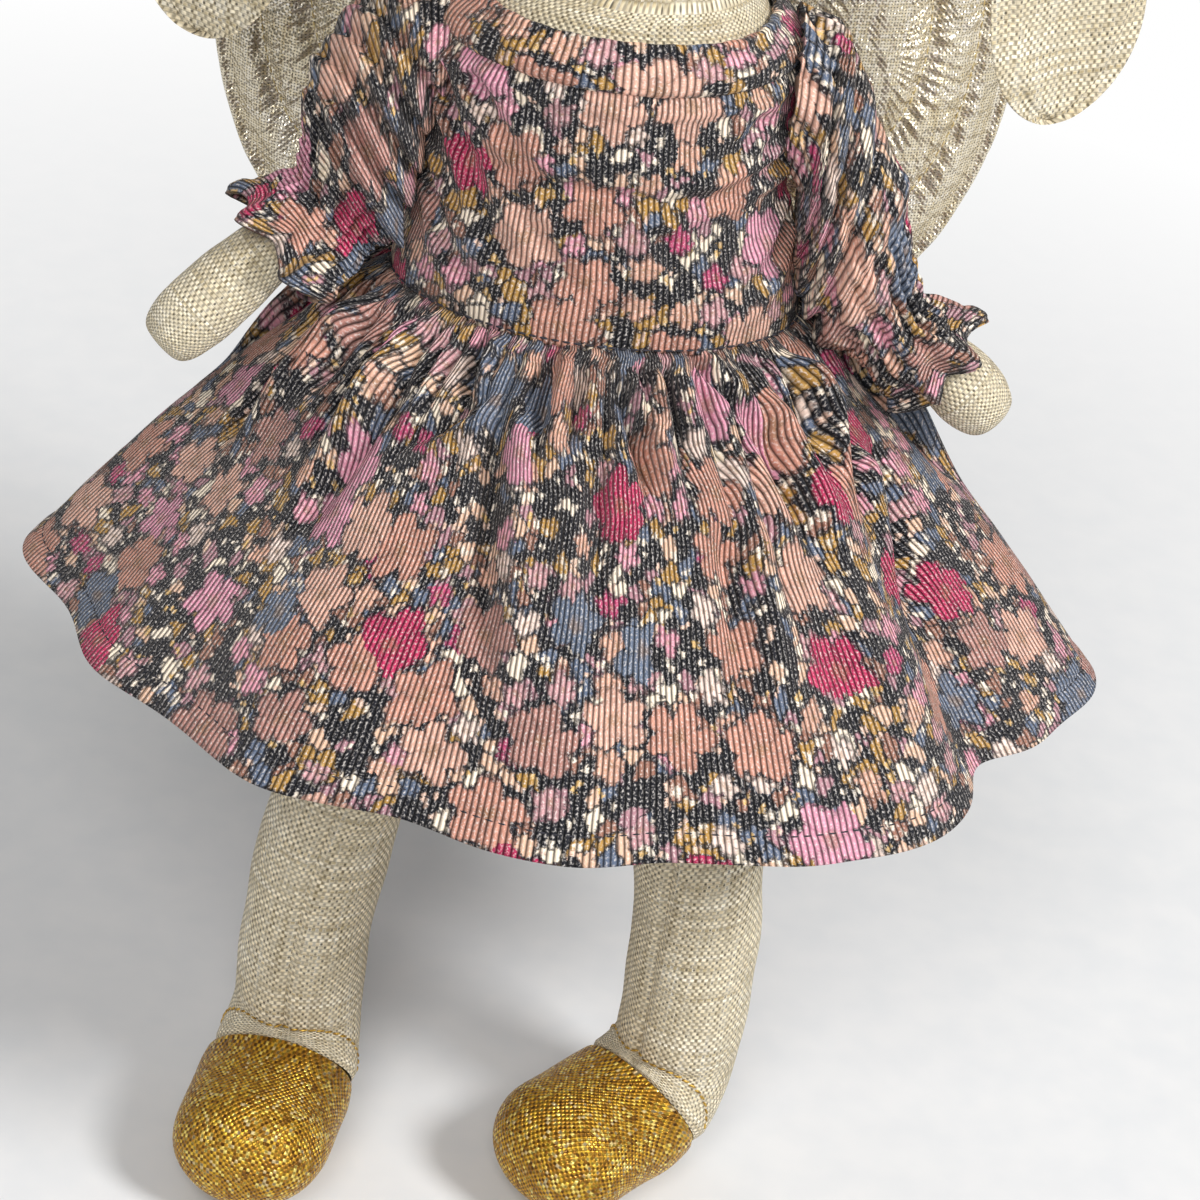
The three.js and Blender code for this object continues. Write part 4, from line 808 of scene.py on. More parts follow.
# Long soft folds: the turn from the front in degrees, the depth, the width in degrees, and how far down it
# ends. A negative depth is a bulge, and a fold that ends past the hem runs through it.
PAST_HEM = 1.5
LONG_FOLDS = [
    (-150, 3, 7, PAST_HEM), (-112, 2.8, 7, 0.8), (-90, -4, 13, PAST_HEM), (-58, 5.5, 18, PAST_HEM),
    (-14, 3.6, 5, 0.95), (38, 3, 5, 0.95), (44, -7, 9, PAST_HEM), (60, 9, 7, PAST_HEM),
    (84, -4.5, 12, PAST_HEM), (128, 2.6, 7, 0.9), (160, 3.2, 7, PAST_HEM),
]
# Drag folds under the waist: the turn at the top, middle and foot in degrees, where it starts and ends on
# the way down, its depth, its width in degrees, and the side its raised lip stands on
DRAG_FOLDS = [
    (-31, -25, -28, 0.0, 0.18, 4.5, 1.5, 1), (-20, -13, -8, 0.05, 0.78, 5.0, 2.2, 1),
    (6, 10, 15, 0.03, 0.3, 6.0, 1.7, 1), (29, 30, 32, 0.0, 0.1, 4.5, 1.5, 1),
    (36, 40, 42, 0.06, 0.45, 6.0, 2.3, 1), (62, 60, 56, 0.02, 0.46, 5.0, 2.2, -1),
    (-53, -50, -51, 0.0, 0.4, 6.0, 2.0, 1), (-72, -74, -73, 0.02, 0.55, 6.0, 2.5, 1),
    (-21, -28, -37, 0.09, 0.3, 4.0, 2.2, 1), (3, 4, 5, 0.2, 0.6, 3.0, 2.0, -1),
    (25, 25, 24, 0.3, 0.7, 3.5, 2.0, 1), (70, 66, 59, 0.22, 0.75, 5.0, 2.4, -1),
    (-40, -43, -44, 0.1, 0.6, 4.0, 2.2, -1), (-2, -3, -3, 0.02, 0.22, 4.0, 1.5, -1),
    (18, 19, 21, 0.02, 0.2, 4.0, 1.4, -1), (52, 52, 50, 0.02, 0.3, 4.0, 1.8, 1),
    (-62, -62, -60, 0.03, 0.3, 4.0, 1.8, -1), (-11, -10, -9, 0.0, 0.2, 4.0, 1.4, 1),
    (84, 86, 88, 0.02, 0.5, 4.5, 2.2, 1), (108, 110, 114, 0.02, 0.5, 4.5, 2.2, -1),
    (138, 136, 133, 0.02, 0.6, 4.5, 2.3, 1), (168, 170, 173, 0.02, 0.5, 4.5, 2.2, -1),
    (-92, -95, -97, 0.02, 0.5, 4.5, 2.2, -1), (-118, -117, -114, 0.02, 0.6, 4.5, 2.3, 1),
    (-146, -148, -150, 0.02, 0.5, 4.5, 2.2, -1),
]
draws = random.Random(11)
PLEATS = 54
pleat_widths = [draws.uniform(0.55, 1.5) for _ in range(PLEATS)]
pleat_edges = [0.0]
for width in pleat_widths:
    pleat_edges.append(pleat_edges[-1] + width / sum(pleat_widths))
pleat_heights = [draws.uniform(4.0, 7.5) for _ in range(PLEATS)]
pleat_ends = [draws.choice((0.2, 0.28, 0.4, 0.6)) * draws.uniform(0.8, 1.2) for _ in range(PLEATS)]


def waist_gathers(share, down):
    """The small pleats under the waist seam: round ridges of uneven width, height and length."""
    i = min(PLEATS - 1, max(0, bisect_right(pleat_edges, share % 1.0) - 1))
    across = (share % 1.0 - pleat_edges[i]) / (pleat_edges[i + 1] - pleat_edges[i])
    ridge = max(0.0, math.sin(math.pi * across)) ** 0.6 - 0.62
    start = 0.2 + 0.8 * ease(down, 0, 0.07)
    return pleat_heights[i] * ridge * start * (1 - ease(down, 0.15 * pleat_ends[i], pleat_ends[i]))


def degrees_from(angle, middle):
    return (math.degrees(angle) - middle + 180) % 360 - 180


def long_folds(angle, down):
    depth = 0.0
    for middle, deep, width, end in LONG_FOLDS:
        depth += deep * hill(degrees_from(angle, middle), 0, width) * (1 - ease(down, end - 0.35, end))
    return depth * ease(down, 0.02, 0.7)


def drag_folds(angle, down):
    """Sharp valleys, each with a raised lip along one side."""
    lift = 0.0
    for top, middle, foot, start, end, deep, width, lip in DRAG_FOLDS:
        share = (down - start) / (end - start)
        if not 0 < share < 1:
            continue
        off = degrees_from(angle, mix(mix(top, middle, share), mix(middle, foot, share), share)) * lip
        shape = 0.75 * hill(off, 2.3 * width, 1.3 * width) - hill(off, 0, width)
        lift += deep * shape * ease(share, 0, 0.2) * (1 - ease(share, 0.45, 1))
    return lift


def skirt_place(u, v):
    """A bell from the waist seam to the hem, with its folds and a sunken hem stitch."""
    angle = (u - 0.5) * TURN
    down = max(0.0, v)
    flare = down ** SKIRT_BELL
    waves = 2.0 * math.cos(12 * angle) + 1.4 * math.sin(5 * angle)
    out = waves * down ** 1.2 + 3.0 * math.cos(angle - math.radians(60)) * down
    out += 1.0 * ease(down, 0, 0.1) * (1 - ease(down, 0.2, 0.6)) - long_folds(angle, down)
    puff = waist_gathers(angle / TURN + 0.5, down) + drag_folds(angle, down)
    point = Vector((
        mix(WAIST_HALF_WIDTH, HEM_HALF_WIDTH, flare) * math.sin(angle),
        -mix(DRESS_HALF_DEPTH, HEM_HALF_DEPTH, flare) * math.cos(angle),
        mix(SKIRT_TOP, HEM_HEIGHT, down),
    ))
    out += 0.6 * rumple(point, 14, 3) * ease(down, 0.1, 0.4)
    out -= 0.45 * hill(down, HEM_STITCH, 0.007)
    out += 0.35 * ease(down, HEM_STITCH, HEM_STITCH + 0.01)
    away = Vector((math.sin(angle), -math.cos(angle), 0))
    return point + away * (out + 0.65 * puff) + UP * (0.75 * puff)


@lru_cache(maxsize=None)
def skirt_row(v):
    return Path([skirt_place(u, v) for u in spaced(0, 1, SKIRT_COLUMNS)])


def skirt_flat(u, v):
    """The wales keep part of their spacing along the cloth, in and out of the folds."""
    row = skirt_row(v)
    followed = row.reach[round(u * SKIRT_COLUMNS)] / row.length
    return (mix(u, followed, 0.2) * SKIRT_CLOTH[0], v * SKIRT_CLOTH[1] + SKIRT_CUT)


skirt = cloth_piece("skirt_needlecord", SKIRT_COLUMNS, 84, skirt_place, skirt_flat, NEEDLECORD)
give_thickness(skirt, 1.3)
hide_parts("skirt_front", "skirt_back")
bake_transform(skirt)

waist_run = [
    (on_dress(angle, WAIST_HEIGHT - BOTTOM_ROUND + 0.3, DRESS_OUTSIDE + 0.9),
     Vector((math.sin(angle), -math.cos(angle), 0.2)).normalized())
    for angle in spaced(0, TURN, 240)
]
waist_seam = stitch_row("waist_seam_stitches", waist_run, 1.7, 0.5, 0.5, 0.0, NAVY_THREAD)
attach(waist_seam, "torso")

hem_run = facing_out([surface_at(skirt_place, u, HEM_STITCH) for u in spaced(0, 1, 400)])
hem_stitches = stitch_row("hem_stitches", hem_run, 2.0, 0.6, 0.42, 0.1, NAVY_THREAD)
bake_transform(hem_stitches)

# Sleeves and arms


def arm_spot(side, point):
    """A point of the hanging arm swung forward at the shoulder."""
    s, c = math.sin(ARM_SWING[side]), math.cos(ARM_SWING[side])
    x, y, z = point
    return Vector((OUTWARDS[side] * SHOULDER[0] + x, y * c + z * s, SHOULDER[1] - y * s + z * c))


def sleeve_cut(side, to_cuff, to_mouth):
    sign = OUTWARDS[side]

    def edge(points, mouth):
        curve = bezier([(sign * out, 0, up) for out, up in points], to_cuff)
        return curve.lerp(Vector((sign * mouth[0], 0, mouth[1])), to_mouth)

    over = edge(SLEEVE_OVER[side], FRILL_OVER[side])
    under = edge(SLEEVE_UNDER[side], FRILL_UNDER[side])
    through = over - under
    drawn = mix(SLEEVE_PUFF, CUFF_HALF_WIDTH, ease(to_cuff, 0, 1))
    return (over + under) / 2, through.normalized(), mix(drawn, FRILL_HALF_WIDTH, to_mouth), through.length / 2


CUFF_SHARE = 0.76
SHIRRING = (0.66, 0.7, 0.74)
# Sags across the front of a sleeve: how far down it starts, its slope round the arm, its depth and width
SLEEVE_FOLDS = {
    "left": [(0.16, 0.6, 2.6, 0.022), (0.3, 0.45, 3.0, 0.026), (0.43, 0.25, 3.4, 0.026),
             (0.54, -0.2, 3.0, 0.022)],
    "right": [(0.14, -0.7, 3.4, 0.024), (0.25, -0.6, 4.2, 0.026), (0.36, -0.45, 4.2, 0.026),
              (0.47, -0.25, 4.2, 0.026), (0.565, 0.05, 3.4, 0.022)],
}


def sleeve_maker(side):
    sign = OUTWARDS[side]

    def relief(u, v):
        """Armhole gathers, the puff and its overhang, the shirred cuff, the frill and its rolled edge, and
        the sags across the front. The left sleeve also has a front seam and leans on the bodice."""
        angle = u * TURN
        gathered = 0.9 * pleat(19 * u + 0.6 * math.sin(3 * angle)) * (1 - ease(v, 0.05, 0.28))
        puffed = 2.6 * ease(v, 0.02, 0.2) * (1 - ease(v, 0.52, 0.64))
        overhang = 2.4 * hill(v, 0.55, 0.07) * (0.6 + 0.4 * pleat(13 * u))
        shirred = 1.3 * pleat(19 * u + 0.5 * math.sin(3 * angle) + 0.2)
        shirred *= ease(v, 0.54, 0.64) * (1 - ease(v, 0.8, 0.9))
        shirred -= 0.9 * max(hill(v, row, 0.01) for row in SHIRRING)
        shirred -= 0.6 * ease(v, 0.6, 0.65) * (1 - ease(v, 0.75, 0.8))
        frilled = (2.2 * math.sin(TURN * 6 * u + 1.2 * math.sin(2 * angle)) + 0.8) * ease(v, 0.76, 0.95)
        rolled = 0.4 * ease(v, 0.905, 0.93) - 0.35 * hill(v, 0.9, 0.012) - 1.2 * ease(v, 0.97, 1.0)
        out = gathered + puffed + overhang + shirred + frilled + rolled
        for start, slope, depth, width in SLEEVE_FOLDS[side]:
            off = v - start - slope * (u - 0.5)
            sag = 0.5 * hill(off, -2.2 * width, 1.3 * width) - hill(off, 0, width)
            out += depth * hill(u, 0.5, 0.26) * sag
        if side == "left":
            seam = hill((u - 0.5) * SLEEVE_CLOTH[1], 0, 1.3)
            out -= 1.8 * seam * ease(v, 0.06, 0.14) * (1 - ease(v, 0.5, 0.58))
            out += 3.6 * hill(u, 0.75, 0.16) * hill(v, 0.3, 0.22)
        return out

    def place(u, v):
        to_cuff = min(1.0, v / CUFF_SHARE)
        to_mouth = max(0.0, (v - CUFF_SHARE) / (1 - CUFF_SHARE))
        centre, through, wide, deep = sleeve_cut(side, to_cuff, to_mouth)
        angle = u * TURN
        point = centre + Y_AXIS * (wide * math.cos(angle)) + through * (deep * math.sin(angle))
        point += Y_AXIS.cross(through) * (sign * 1.7 * math.sin(TURN * 5 * u + 2) * ease(v, 0.8, 1.0))
        out = relief(u, v) + 1.1 * rumple(point, 13, 5 + sign) * ease(v, 0.05, 0.25)
        away = (Y_AXIS * (math.cos(angle) * deep) + through * (math.sin(angle) * wide)).normalized()
        tucked = -sign * SLEEVE_TUCK[side] * (1 - ease(v, 0, 0.1))
        return arm_spot(side, point + away * out + X_AXIS * tucked)

    return place


def arm_maker(side):
    sign = OUTWARDS[side]
    centres = [sleeve_cut(side, share, 0)[0] for share in (1 / 3, 2 / 3, 1)]
    mouth = sleeve_cut(side, 1, 1)[0]
    tip = Vector((sign * HAND_TIP[side][0], 0, HAND_TIP[side][1]))
    spine = smooth_path([(0, 0, 0), *centres, mouth, tip])
    cuff = spine.reach[len(centres) * SPAN_STEPS] / spine.length

    def place(u, v):
        angle = u * TURN
        shrink = 1.0
        if v < HAND_ROWS:
            along = v / HAND_ROWS * (1 - HAND_ROUND)
        else:
            bend = (v - HAND_ROWS) / (1 - HAND_ROWS) * TURN / 4
            along = 1 - HAND_ROUND * (1 - math.sin(bend))
            shrink = max(0.0, math.cos(bend)) ** 0.45
        full = ease(along, 0.16, 0.55)
        wrist = mix(ARM_RADIUS, WRIST_RADIUS, ease(along, cuff / 2, cuff))
        below = mix(wrist, HAND_RADIUS, ease(along, cuff, mix(cuff, 1, 0.7)))
        wide, deep = mix(ARM_ROOT_HALF_WIDTH, below, full), mix(ARM_ROOT_HALF_DEPTH, below, full)
        heading = spine.heading(along)
        through = heading.cross(Y_AXIS).normalized()
        point = spine.at(along)
        away = Y_AXIS * math.cos(angle) + through * math.sin(angle)
        seam = hill(abs(math.sin(angle)), 1, 0.025) * 0.45
        out = 0.35 * rumple(point + away * below, 7, 9 + sign) * full
        point = point + Y_AXIS * (wide * shrink * math.cos(angle))
        point = point + through * (deep * shrink * math.sin(angle))
        return arm_spot(side, point + away * (out - seam) * shrink)

    return place, spine.length


for side in SIDES:
    arm = f"arm_{side}"
    place, length = arm_maker(side)
    hand = cloth_piece(f"arm_linen_{side}", 56, 84, place, laid_flat((ARM_CLOTH, length * ARM_CLOTH_EASE)),
                       LINEN)
    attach(hand, arm)
    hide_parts(f"arm_skin_{side}", f"arm_stuffing_{side}")

    place = sleeve_maker(side)
    sleeve = cloth_piece(f"sleeve_needlecord_{side}", 168, 96, place,
                         lambda u, v: (v * SLEEVE_CLOTH[0] + SLEEVE_CUT[side], u * SLEEVE_CLOTH[1]),
                         NEEDLECORD)
    give_thickness(sleeve, 1.0)
    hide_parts(f"sleeve_{side}", f"cuff_elastic_{side}")
    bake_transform(sleeve)

# Legs and feet


Leg = namedtuple("Leg", "spine forward sideways shin_at bend_at")


def leg_frame(side):
    """The line of a leg, the ways its foot points, and cuts through its shin and its bent ankle."""
    sign = OUTWARDS[side]
    turn = FOOT_TURN[side]
    knots = [
        (sign * HIP[0], HIP[1], LEG_TOP), (sign * HIP[0], HIP[1], mix(LEG_TOP, ANKLE_HEIGHT, 0.3)),
        (sign * KNEE_OUT, HIP[1], mix(LEG_TOP, ANKLE_HEIGHT, 0.5)), (sign * ANKLE_OUT, HIP[1], ANKLE_HEIGHT),
    ]
    spine = curve_path(knots)
    forward = Vector((math.sin(turn), -math.cos(turn), 0))
    sideways = Vector((math.cos(turn), math.sin(turn), 0))

    def bend_at(angle):
        centre = spine.at(1) + forward * (ANKLE_BEND * (1 - math.cos(angle)))
        centre = centre - UP * (ANKLE_BEND * math.sin(angle))
        through = forward * math.cos(angle) + UP * math.sin(angle)
        wide = mix(LEG_RADIUS, FOOT_HALF_WIDTH, ease(angle, 0, TURN / 4))
        return centre, sideways, through, wide, LEG_RADIUS

    def shin_at(share):
        heading = spine.heading(share) if share < 1 else -UP
        twist = turn * ease(share, 0.2, 0.95)
        across = Vector((math.cos(twist), math.sin(twist), 0))
        across = (across - heading * across.dot(heading)).normalized()
        deep = mix(LEG_ROOT_DEPTH, LEG_RADIUS, ease(share * spine.length, 0, LEG_SWELL))
        return spine.at(share), across, heading.cross(across), LEG_RADIUS, deep

    return Leg(spine, forward, sideways, shin_at, bend_at)


def round_cut(cut, angle, out, shrink=1.0):
    centre, across, through, wide, deep = cut
    point = centre + across * ((wide * shrink + out) * math.cos(angle))
    return point + through * ((deep * shrink + out) * math.sin(angle))


def leg_maker(side):
    """A stuffed leg with a seam down its front and back, creased at the ankle and drawn in at the toe seam."""
    leg = leg_frame(side)
    to_ankle = leg.spine.length
    whole = to_ankle + ANKLE_BEND * TOE_SEAM_TURN

    def place(u, v):
        angle = u * TURN
        length = v * whole
        if length < to_ankle:
            cut = leg.shin_at(length / to_ankle)
        else:
            cut = leg.bend_at((length - to_ankle) / ANKLE_BEND)
        away = cut[1] * math.cos(angle) + cut[2] * math.sin(angle)
        point = cut[0] + away * LEG_RADIUS
        front = math.sin(angle)
        out = 0.7 * rumple(point, 16, 11) * ease(length, 10, 40)
        out -= 1.1 * hill((u - 0.25) * LEG_CLOTH, 0, 1.1) + 0.7 * hill((u - 0.75) * LEG_CLOTH, 0, 1.1)
        crease = 0.5 + 0.5 * math.sin((length - to_ankle) / 3.1 + rumple(point, 9, 13))
        out -= 0.8 * crease * ease(front, 0.2, 0.9) * hill(length, to_ankle + 4, 9)
        out -= 0.9 * ease(length, whole - 2.0, whole)
        return round_cut(cut, angle, out)

    return place, whole


def toe_maker(side):
    """The toe panel from its seam round the bend and forward to its blunt end."""
    leg = leg_frame(side)
    foot = leg.bend_at(TURN / 4)

    def place(u, v):
        angle = u * TURN
        shrink = 1.0
        if v < TOE_BEND_END:
            cut = leg.bend_at(mix(TOE_SEAM_TURN + 0.02, TURN / 4, v / TOE_BEND_END))
        else:
            if v < TOE_STRAIGHT_END:
                ahead = TOE_STRAIGHT * (v - TOE_BEND_END) / (TOE_STRAIGHT_END - TOE_BEND_END)
            else:
                bend = (v - TOE_STRAIGHT_END) / (1 - TOE_STRAIGHT_END) * TURN / 4
                ahead = TOE_STRAIGHT + TOE_ROUND * math.sin(bend)
                shrink = max(0.0, math.cos(bend)) ** 0.7
            cut = (foot[0] + leg.forward * ahead, *foot[1:])
        away = cut[1] * math.cos(angle) + cut[2] * math.sin(angle)
        out = 0.5 * rumple(cut[0] + away * LEG_RADIUS, 11, 17) - 0.7 * (1 - ease(v, 0, 0.04))
        return round_cut(cut, angle, out * shrink, shrink)

    return place


def toe_flat(leg, point):
    """The gold cloth is eased over the foot from the middle of its upper side."""
    off = point - leg.bend_at(TURN / 4)[0] - leg.forward * TOE_STRAIGHT
    crown = leg.forward * 0.6 + UP * 0.8
    rise = UP * 0.6 - leg.forward * 0.8
    tilt = math.acos(max(-1.0, min(1.0, off.normalized().dot(crown))))
    turn = math.atan2(off.dot(rise), off.dot(leg.sideways))
    reach = TOE_CLOTH_RADIUS * tilt
    return (reach * math.cos(turn), reach * math.sin(turn))


for side in SIDES:
    leg_body = f"leg_{side}"
    leg = leg_frame(side)
    ankle = leg.spine.at(1)
    place, length = leg_maker(side)
    shin = cloth_piece(f"leg_linen_{side}", 96, 132, place, laid_flat((LEG_CLOTH, length)), LINEN)
    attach(shin, leg_body)
    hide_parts(f"leg_skin_{side}", f"leg_stuffing_{side}")

    strap_run = facing_out([
        surface_at(place, mix(-0.03, 0.53, share), mix(0.985, 0.885, math.sin(math.pi * share)))
        for share in spaced(0, 1, 60)
    ], ankle.x, ankle.y)
    strap = stitch_row(f"ankle_strap_{side}", strap_run, 1.9, 0.1, 0.6, 0.1, GOLD_THREAD,
                       slant=0.3)
    front_run = facing_out([surface_at(place, 0.25, v) for v in spaced(0.12, 0.99, 80)], ankle.x, ankle.y)
    front_seam = stitch_row(f"leg_seam_{side}", front_run, 1.3, 0.7, 0.45, -0.05, LINEN_THREAD)
    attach(front_seam, leg_body)
    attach(strap, leg_body)

    place = toe_maker(side)
    toe = cloth_piece(f"toe_lurex_{side}", 84, 64, place, lambda u, v: toe_flat(leg, place(u, v)), LUREX)
    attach(toe, leg_body)
    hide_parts(f"shoe_toe_{side}")


def hip_seam_place(u, v):
    x = mix(-HIP_SEAM_HALF, HIP_SEAM_HALF, v)
    angle = u * TURN
    radius = (HIP_SEAM_RADIUS + 0.12 * math.sin(x * 1.9)) * (1 - hill(abs(x), HIP_SEAM_HALF, 0.7))
    return Vector((x, HIP[1] + radius * math.cos(angle), HIP_PIVOT_HEIGHT + radius * math.sin(angle)))


hip_seam = cloth_piece("hip_seam_linen", 16, 120, hip_seam_place, laid_flat(HIP_SEAM_CLOTH), LINEN)
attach(hip_seam, "hip_seam")
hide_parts("hip_seam")

# Head, face and ears


def head_place(u, v):
    """Round the head from ear to ear: u turns in the middle plane from the nape over the crown, v goes from
    right to left. It has a muzzle, cheeks, two seams over the crown and one under the chin."""
    turn = u * TURN
    aside = (v - 0.5) * math.pi
    wide, deep, tall = HEAD_HALF
    x = wide * math.sin(aside)
    y = deep * math.cos(aside) * math.cos(turn)
    z = tall * math.cos(aside) * math.sin(turn)
    point = Vector((x, y, z))
    out = 0.6 * rumple(point, 20, 21)
    if y < 0:
        muzzle = hill(x, 0, 17) * hill(z, -12, 13)
        cheek = hill(abs(x), 27, 14) * hill(z, -14, 14)
        out += 4.0 * muzzle + 1.5 * cheek
    crown_seam = hill(abs(x), 15 + 0.1 * z, 0.9) * ease(z + abs(y) * 0.2, -16, 0)
    chin_seam = hill(x, 0, 0.8) * (1 - ease(z, -14, -8))
    out -= 0.8 * crown_seam + 0.6 * chin_seam
    point += Vector((x / wide ** 2, y / deep ** 2, z / tall ** 2)).normalized() * out
    point.z += 3.2 * ease(-point.z, 36, 44)
    return point + HEAD_CENTRE


head = cloth_piece("head_linen", 168, 112, head_place,
                   lambda u, v: (v * HEAD_CLOTH[0], u * HEAD_CLOTH[1]), LINEN)
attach(head, "head")
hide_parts("head_skin", "head_stuffing")


def on_face(turn, lift):
    """A point of the face and the way out there, for a turn to the left and a lift in degrees."""
    turn, lift = math.radians(turn), math.radians(lift)
    aside = math.asin(math.cos(lift) * math.sin(turn))
    round_share = math.atan2(math.sin(lift), -math.cos(lift) * math.cos(turn)) / TURN
    point, out = surface_at(head_place, round_share % 1, aside / math.pi + 0.5)
    return point, out if out.dot(point - HEAD_CENTRE) > 0 else -out


def face_bead(name, turn, lift, half_width, half_height, depth, lift_off, material):
    point, out = on_face(turn, lift)
    side = UP.cross(out).normalized()
    bm = bmesh.new()
    place = frame_at(point + out * lift_off, side, out.cross(side), out)
    sized = Matrix.Diagonal((half_width * MM, half_height * MM, depth * MM, 1))
    bmesh.ops.create_uvsphere(bm, u_segments=40, v_segments=24, radius=1, matrix=place @ sized)
    return finish_piece(name, bm, material)


for side in SIDES:
    eye = face_bead(f"eye_bead_{side}", EYE_TURN * OUTWARDS[side], EYE_LIFT, EYE_RADIUS, EYE_RADIUS, EYE_DEPTH,
                    0.5, BEAD)
    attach(eye, "head")
    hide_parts(f"eye_{side}")

nose_pad = face_bead("nose_pad", 0, NOSE_LIFT, 4.5, 3.0, 1.1, 0.1, NOSE_COTTON)
bm = bmesh.new()
for off in spaced(-1, 1, 24):
    point, out = on_face(NOSE_SPREAD * off, NOSE_LIFT)
    tall = NOSE_HALF_HEIGHT * math.sqrt(max(0.05, 1 - off * off)) * (1 - 0.35 * abs(off))
    across = UP.cross(out).normalized()
    point = point + out * (0.5 + 0.8 * (1 - off * off)) + UP * (0.9 * abs(off))
    sized = Matrix.Diagonal((0.26 * MM, tall * MM, 0.5 * MM, 1))
    bmesh.ops.create_uvsphere(bm, u_segments=8, v_segments=7, radius=1,
                              matrix=frame_at(point, across, out.cross(across), out) @ sized)
nose = finish_piece("nose_satin_stitch", bm, NOSE_COTTON)
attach(nose, "head")
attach(nose_pad, "head")
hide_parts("nose")
mouth_run = [on_face(0, lift) for lift in spaced(MOUTH_TOP, MOUTH_MIDDLE, 8)]
mouth = stitch_row("mouth_stitch_middle", mouth_run, 5.0, 0.2, 0.8, 0.1, NOSE_COTTON)
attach(mouth, "head")
for side in SIDES:
    run = []
    for share in spaced(0, 1, 12):
        lift = mix(MOUTH_MIDDLE, MOUTH_CORNER, math.sin(share * 2.2))
        run.append(on_face(OUTWARDS[side] * MOUTH_SPREAD * share, lift))
    smile = stitch_row(f"mouth_stitch_{side}", run, 3.2, -0.4, 0.8, 0.1, NOSE_COTTON)
    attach(smile, "head")


def ear_share(v):
    """Rows of the ear lie closer together towards its rounded tip."""
    return mix(v, 1 - (1 - v) ** 2, ease(v, 0.5, 1.0))


def ear_maker(side):
    sign = OUTWARDS[side]
    drop = EAR_ROOT[1] - EAR_TIP_HEIGHT[side]

    def at(reach, fall):
        return (sign * (EAR_ROOT[0] + EAR_REACH * reach), 0, EAR_ROOT[1] - drop * fall)

    spine = curve_path([at(0, 0), at(0.62, -0.04), at(0.92, 0.42), at(1, 1)])

    def half_width(share):
        swell = math.sin(TURN / 4 * min(1.25, share / 0.62)) ** 0.8
        rounded = math.sqrt(max(0.0, 1 - max(0.0, (share - EAR_ROUND) / (1 - EAR_ROUND)) ** 2))
        drawn = mix(0.55, 1.0, ease(share, 0.0, 0.1)) * math.sqrt(min(1.0, share / 0.012))
        return mix(EAR_ROOT_WIDTH, EAR_WIDTH, swell) / 2 * rounded * drawn

    def place(u, v):
        share = ear_share(v)
        wide = half_width(share)
        heading = spine.heading(min(0.98, share))
        twist = EAR_TWIST * ease(share, 0.1, 0.8)
        edgeways = Quaternion(heading, sign * twist) @ Vector((0, -1, 0))
        facing = edgeways.cross(heading) * sign
        angle = u * TURN
        off = math.cos(angle)
        from_edge = wide * (1 - abs(off))
        thick = 0.55 + 1.5 * ease(from_edge, 0.5, 6)
        thick -= 0.55 * hill(from_edge, 4.2, 0.7) + 0.3 * hill(from_edge, 2.4, 0.5)
        thick = (thick + 1.6 * hill(share, 0.02, 0.04)) * min(1.0, wide / 4)
        point = spine.at(share) + edgeways * (off * wide)
        droop = 1.2 * rumple(point, 16, 23 + sign) + 2.4 * (off * off - 0.4) * ease(share, 0.1, 0.4)
        depth = max(-1.0, min(1.0, 3.2 * math.sin(angle))) * thick
        return point + facing * (depth + droop * ease(share, 0.05, 0.2))

    def flat(u, v):
        share = ear_share(v)
        across = half_width(share) * math.cos(u * TURN) + (EAR_LINING_CUT if u > 0.5 else 0)
        return (across, share * spine.length)

    return place, flat


for side in SIDES:
    place, flat = ear_maker(side)
    ear = cloth_piece(f"ear_linen_{side}", 120, 120, place, flat, LINEN)
    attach(ear, f"ear_{side}")
    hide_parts(f"ear_outer_{side}", f"ear_lining_{side}")

# Wings


def on_wing(across, up):
    """A point of a flat wing, by its shares of the span and of the height."""
    return Vector((WING_SPAN * across, 0, mix(WING_BOTTOM, WING_TOP, up)))


root_low = Vector((WING_ROOT_IN, 0, WING_ROOT_LOW))
root_high = Vector((WING_ROOT_IN, 0, WING_ROOT_HIGH))
near_low = Vector((WING_SPAN * 0.21, 0, WING_ROOT_LOW))
near_high = Vector((WING_SPAN * 0.21, 0, WING_ROOT_HIGH))
wing_edge = []
for curve in (
    [root_low, near_low, on_wing(0.42, 0), on_wing(0.66, 0)],
    [on_wing(0.66, 0), on_wing(0.82, 0), on_wing(1, 0.2), on_wing(1, 0.48)],
    [on_wing(1, 0.48), on_wing(1, 0.78), on_wing(0.88, 1), on_wing(0.7, 1)],
    [on_wing(0.7, 1), on_wing(0.42, 1), near_high, root_high],
):
    wing_edge += [bezier(curve, share) for share in spaced(0, 1, 24)[:-1]]
wing_edge += [root_high.lerp(root_low, share) for share in spaced(0, 1, 8)]
wing_outline = Path(wing_edge)


def wing_radius(u):
    return (wing_outline.at(u % 1) - WING_CENTRE).length


def quilt_depth(u, from_edge):
    """How far the echo stitching draws a wing in, and the puckers beside the stitches."""
    along = u * wing_outline.length
    drawn = 0.9 * hill(from_edge, WING_PIPING + 0.6, 0.7)
    for i, line in enumerate(QUILT_LINES):
        off = from_edge - line * wing_radius(u)
        drawn = max(drawn, 0.8 * hill(off, 0, 2.2))
        wave = math.sin(along * 1.12 + 0.25 * off + 2 * math.sin(along * 0.21 + i))
        drawn += 0.22 * wave * hill(abs(off), 3.4, 2.4)
    return drawn


def wing_spot(side, x, y, z):
    sign = OUTWARDS[side]
    c, s = math.cos(WING_SWEEP), math.sin(WING_SWEEP)
    return Vector((sign * (WING_ROOT[0] + x * c - y * s), WING_ROOT[1] + x * s + y * c, z))


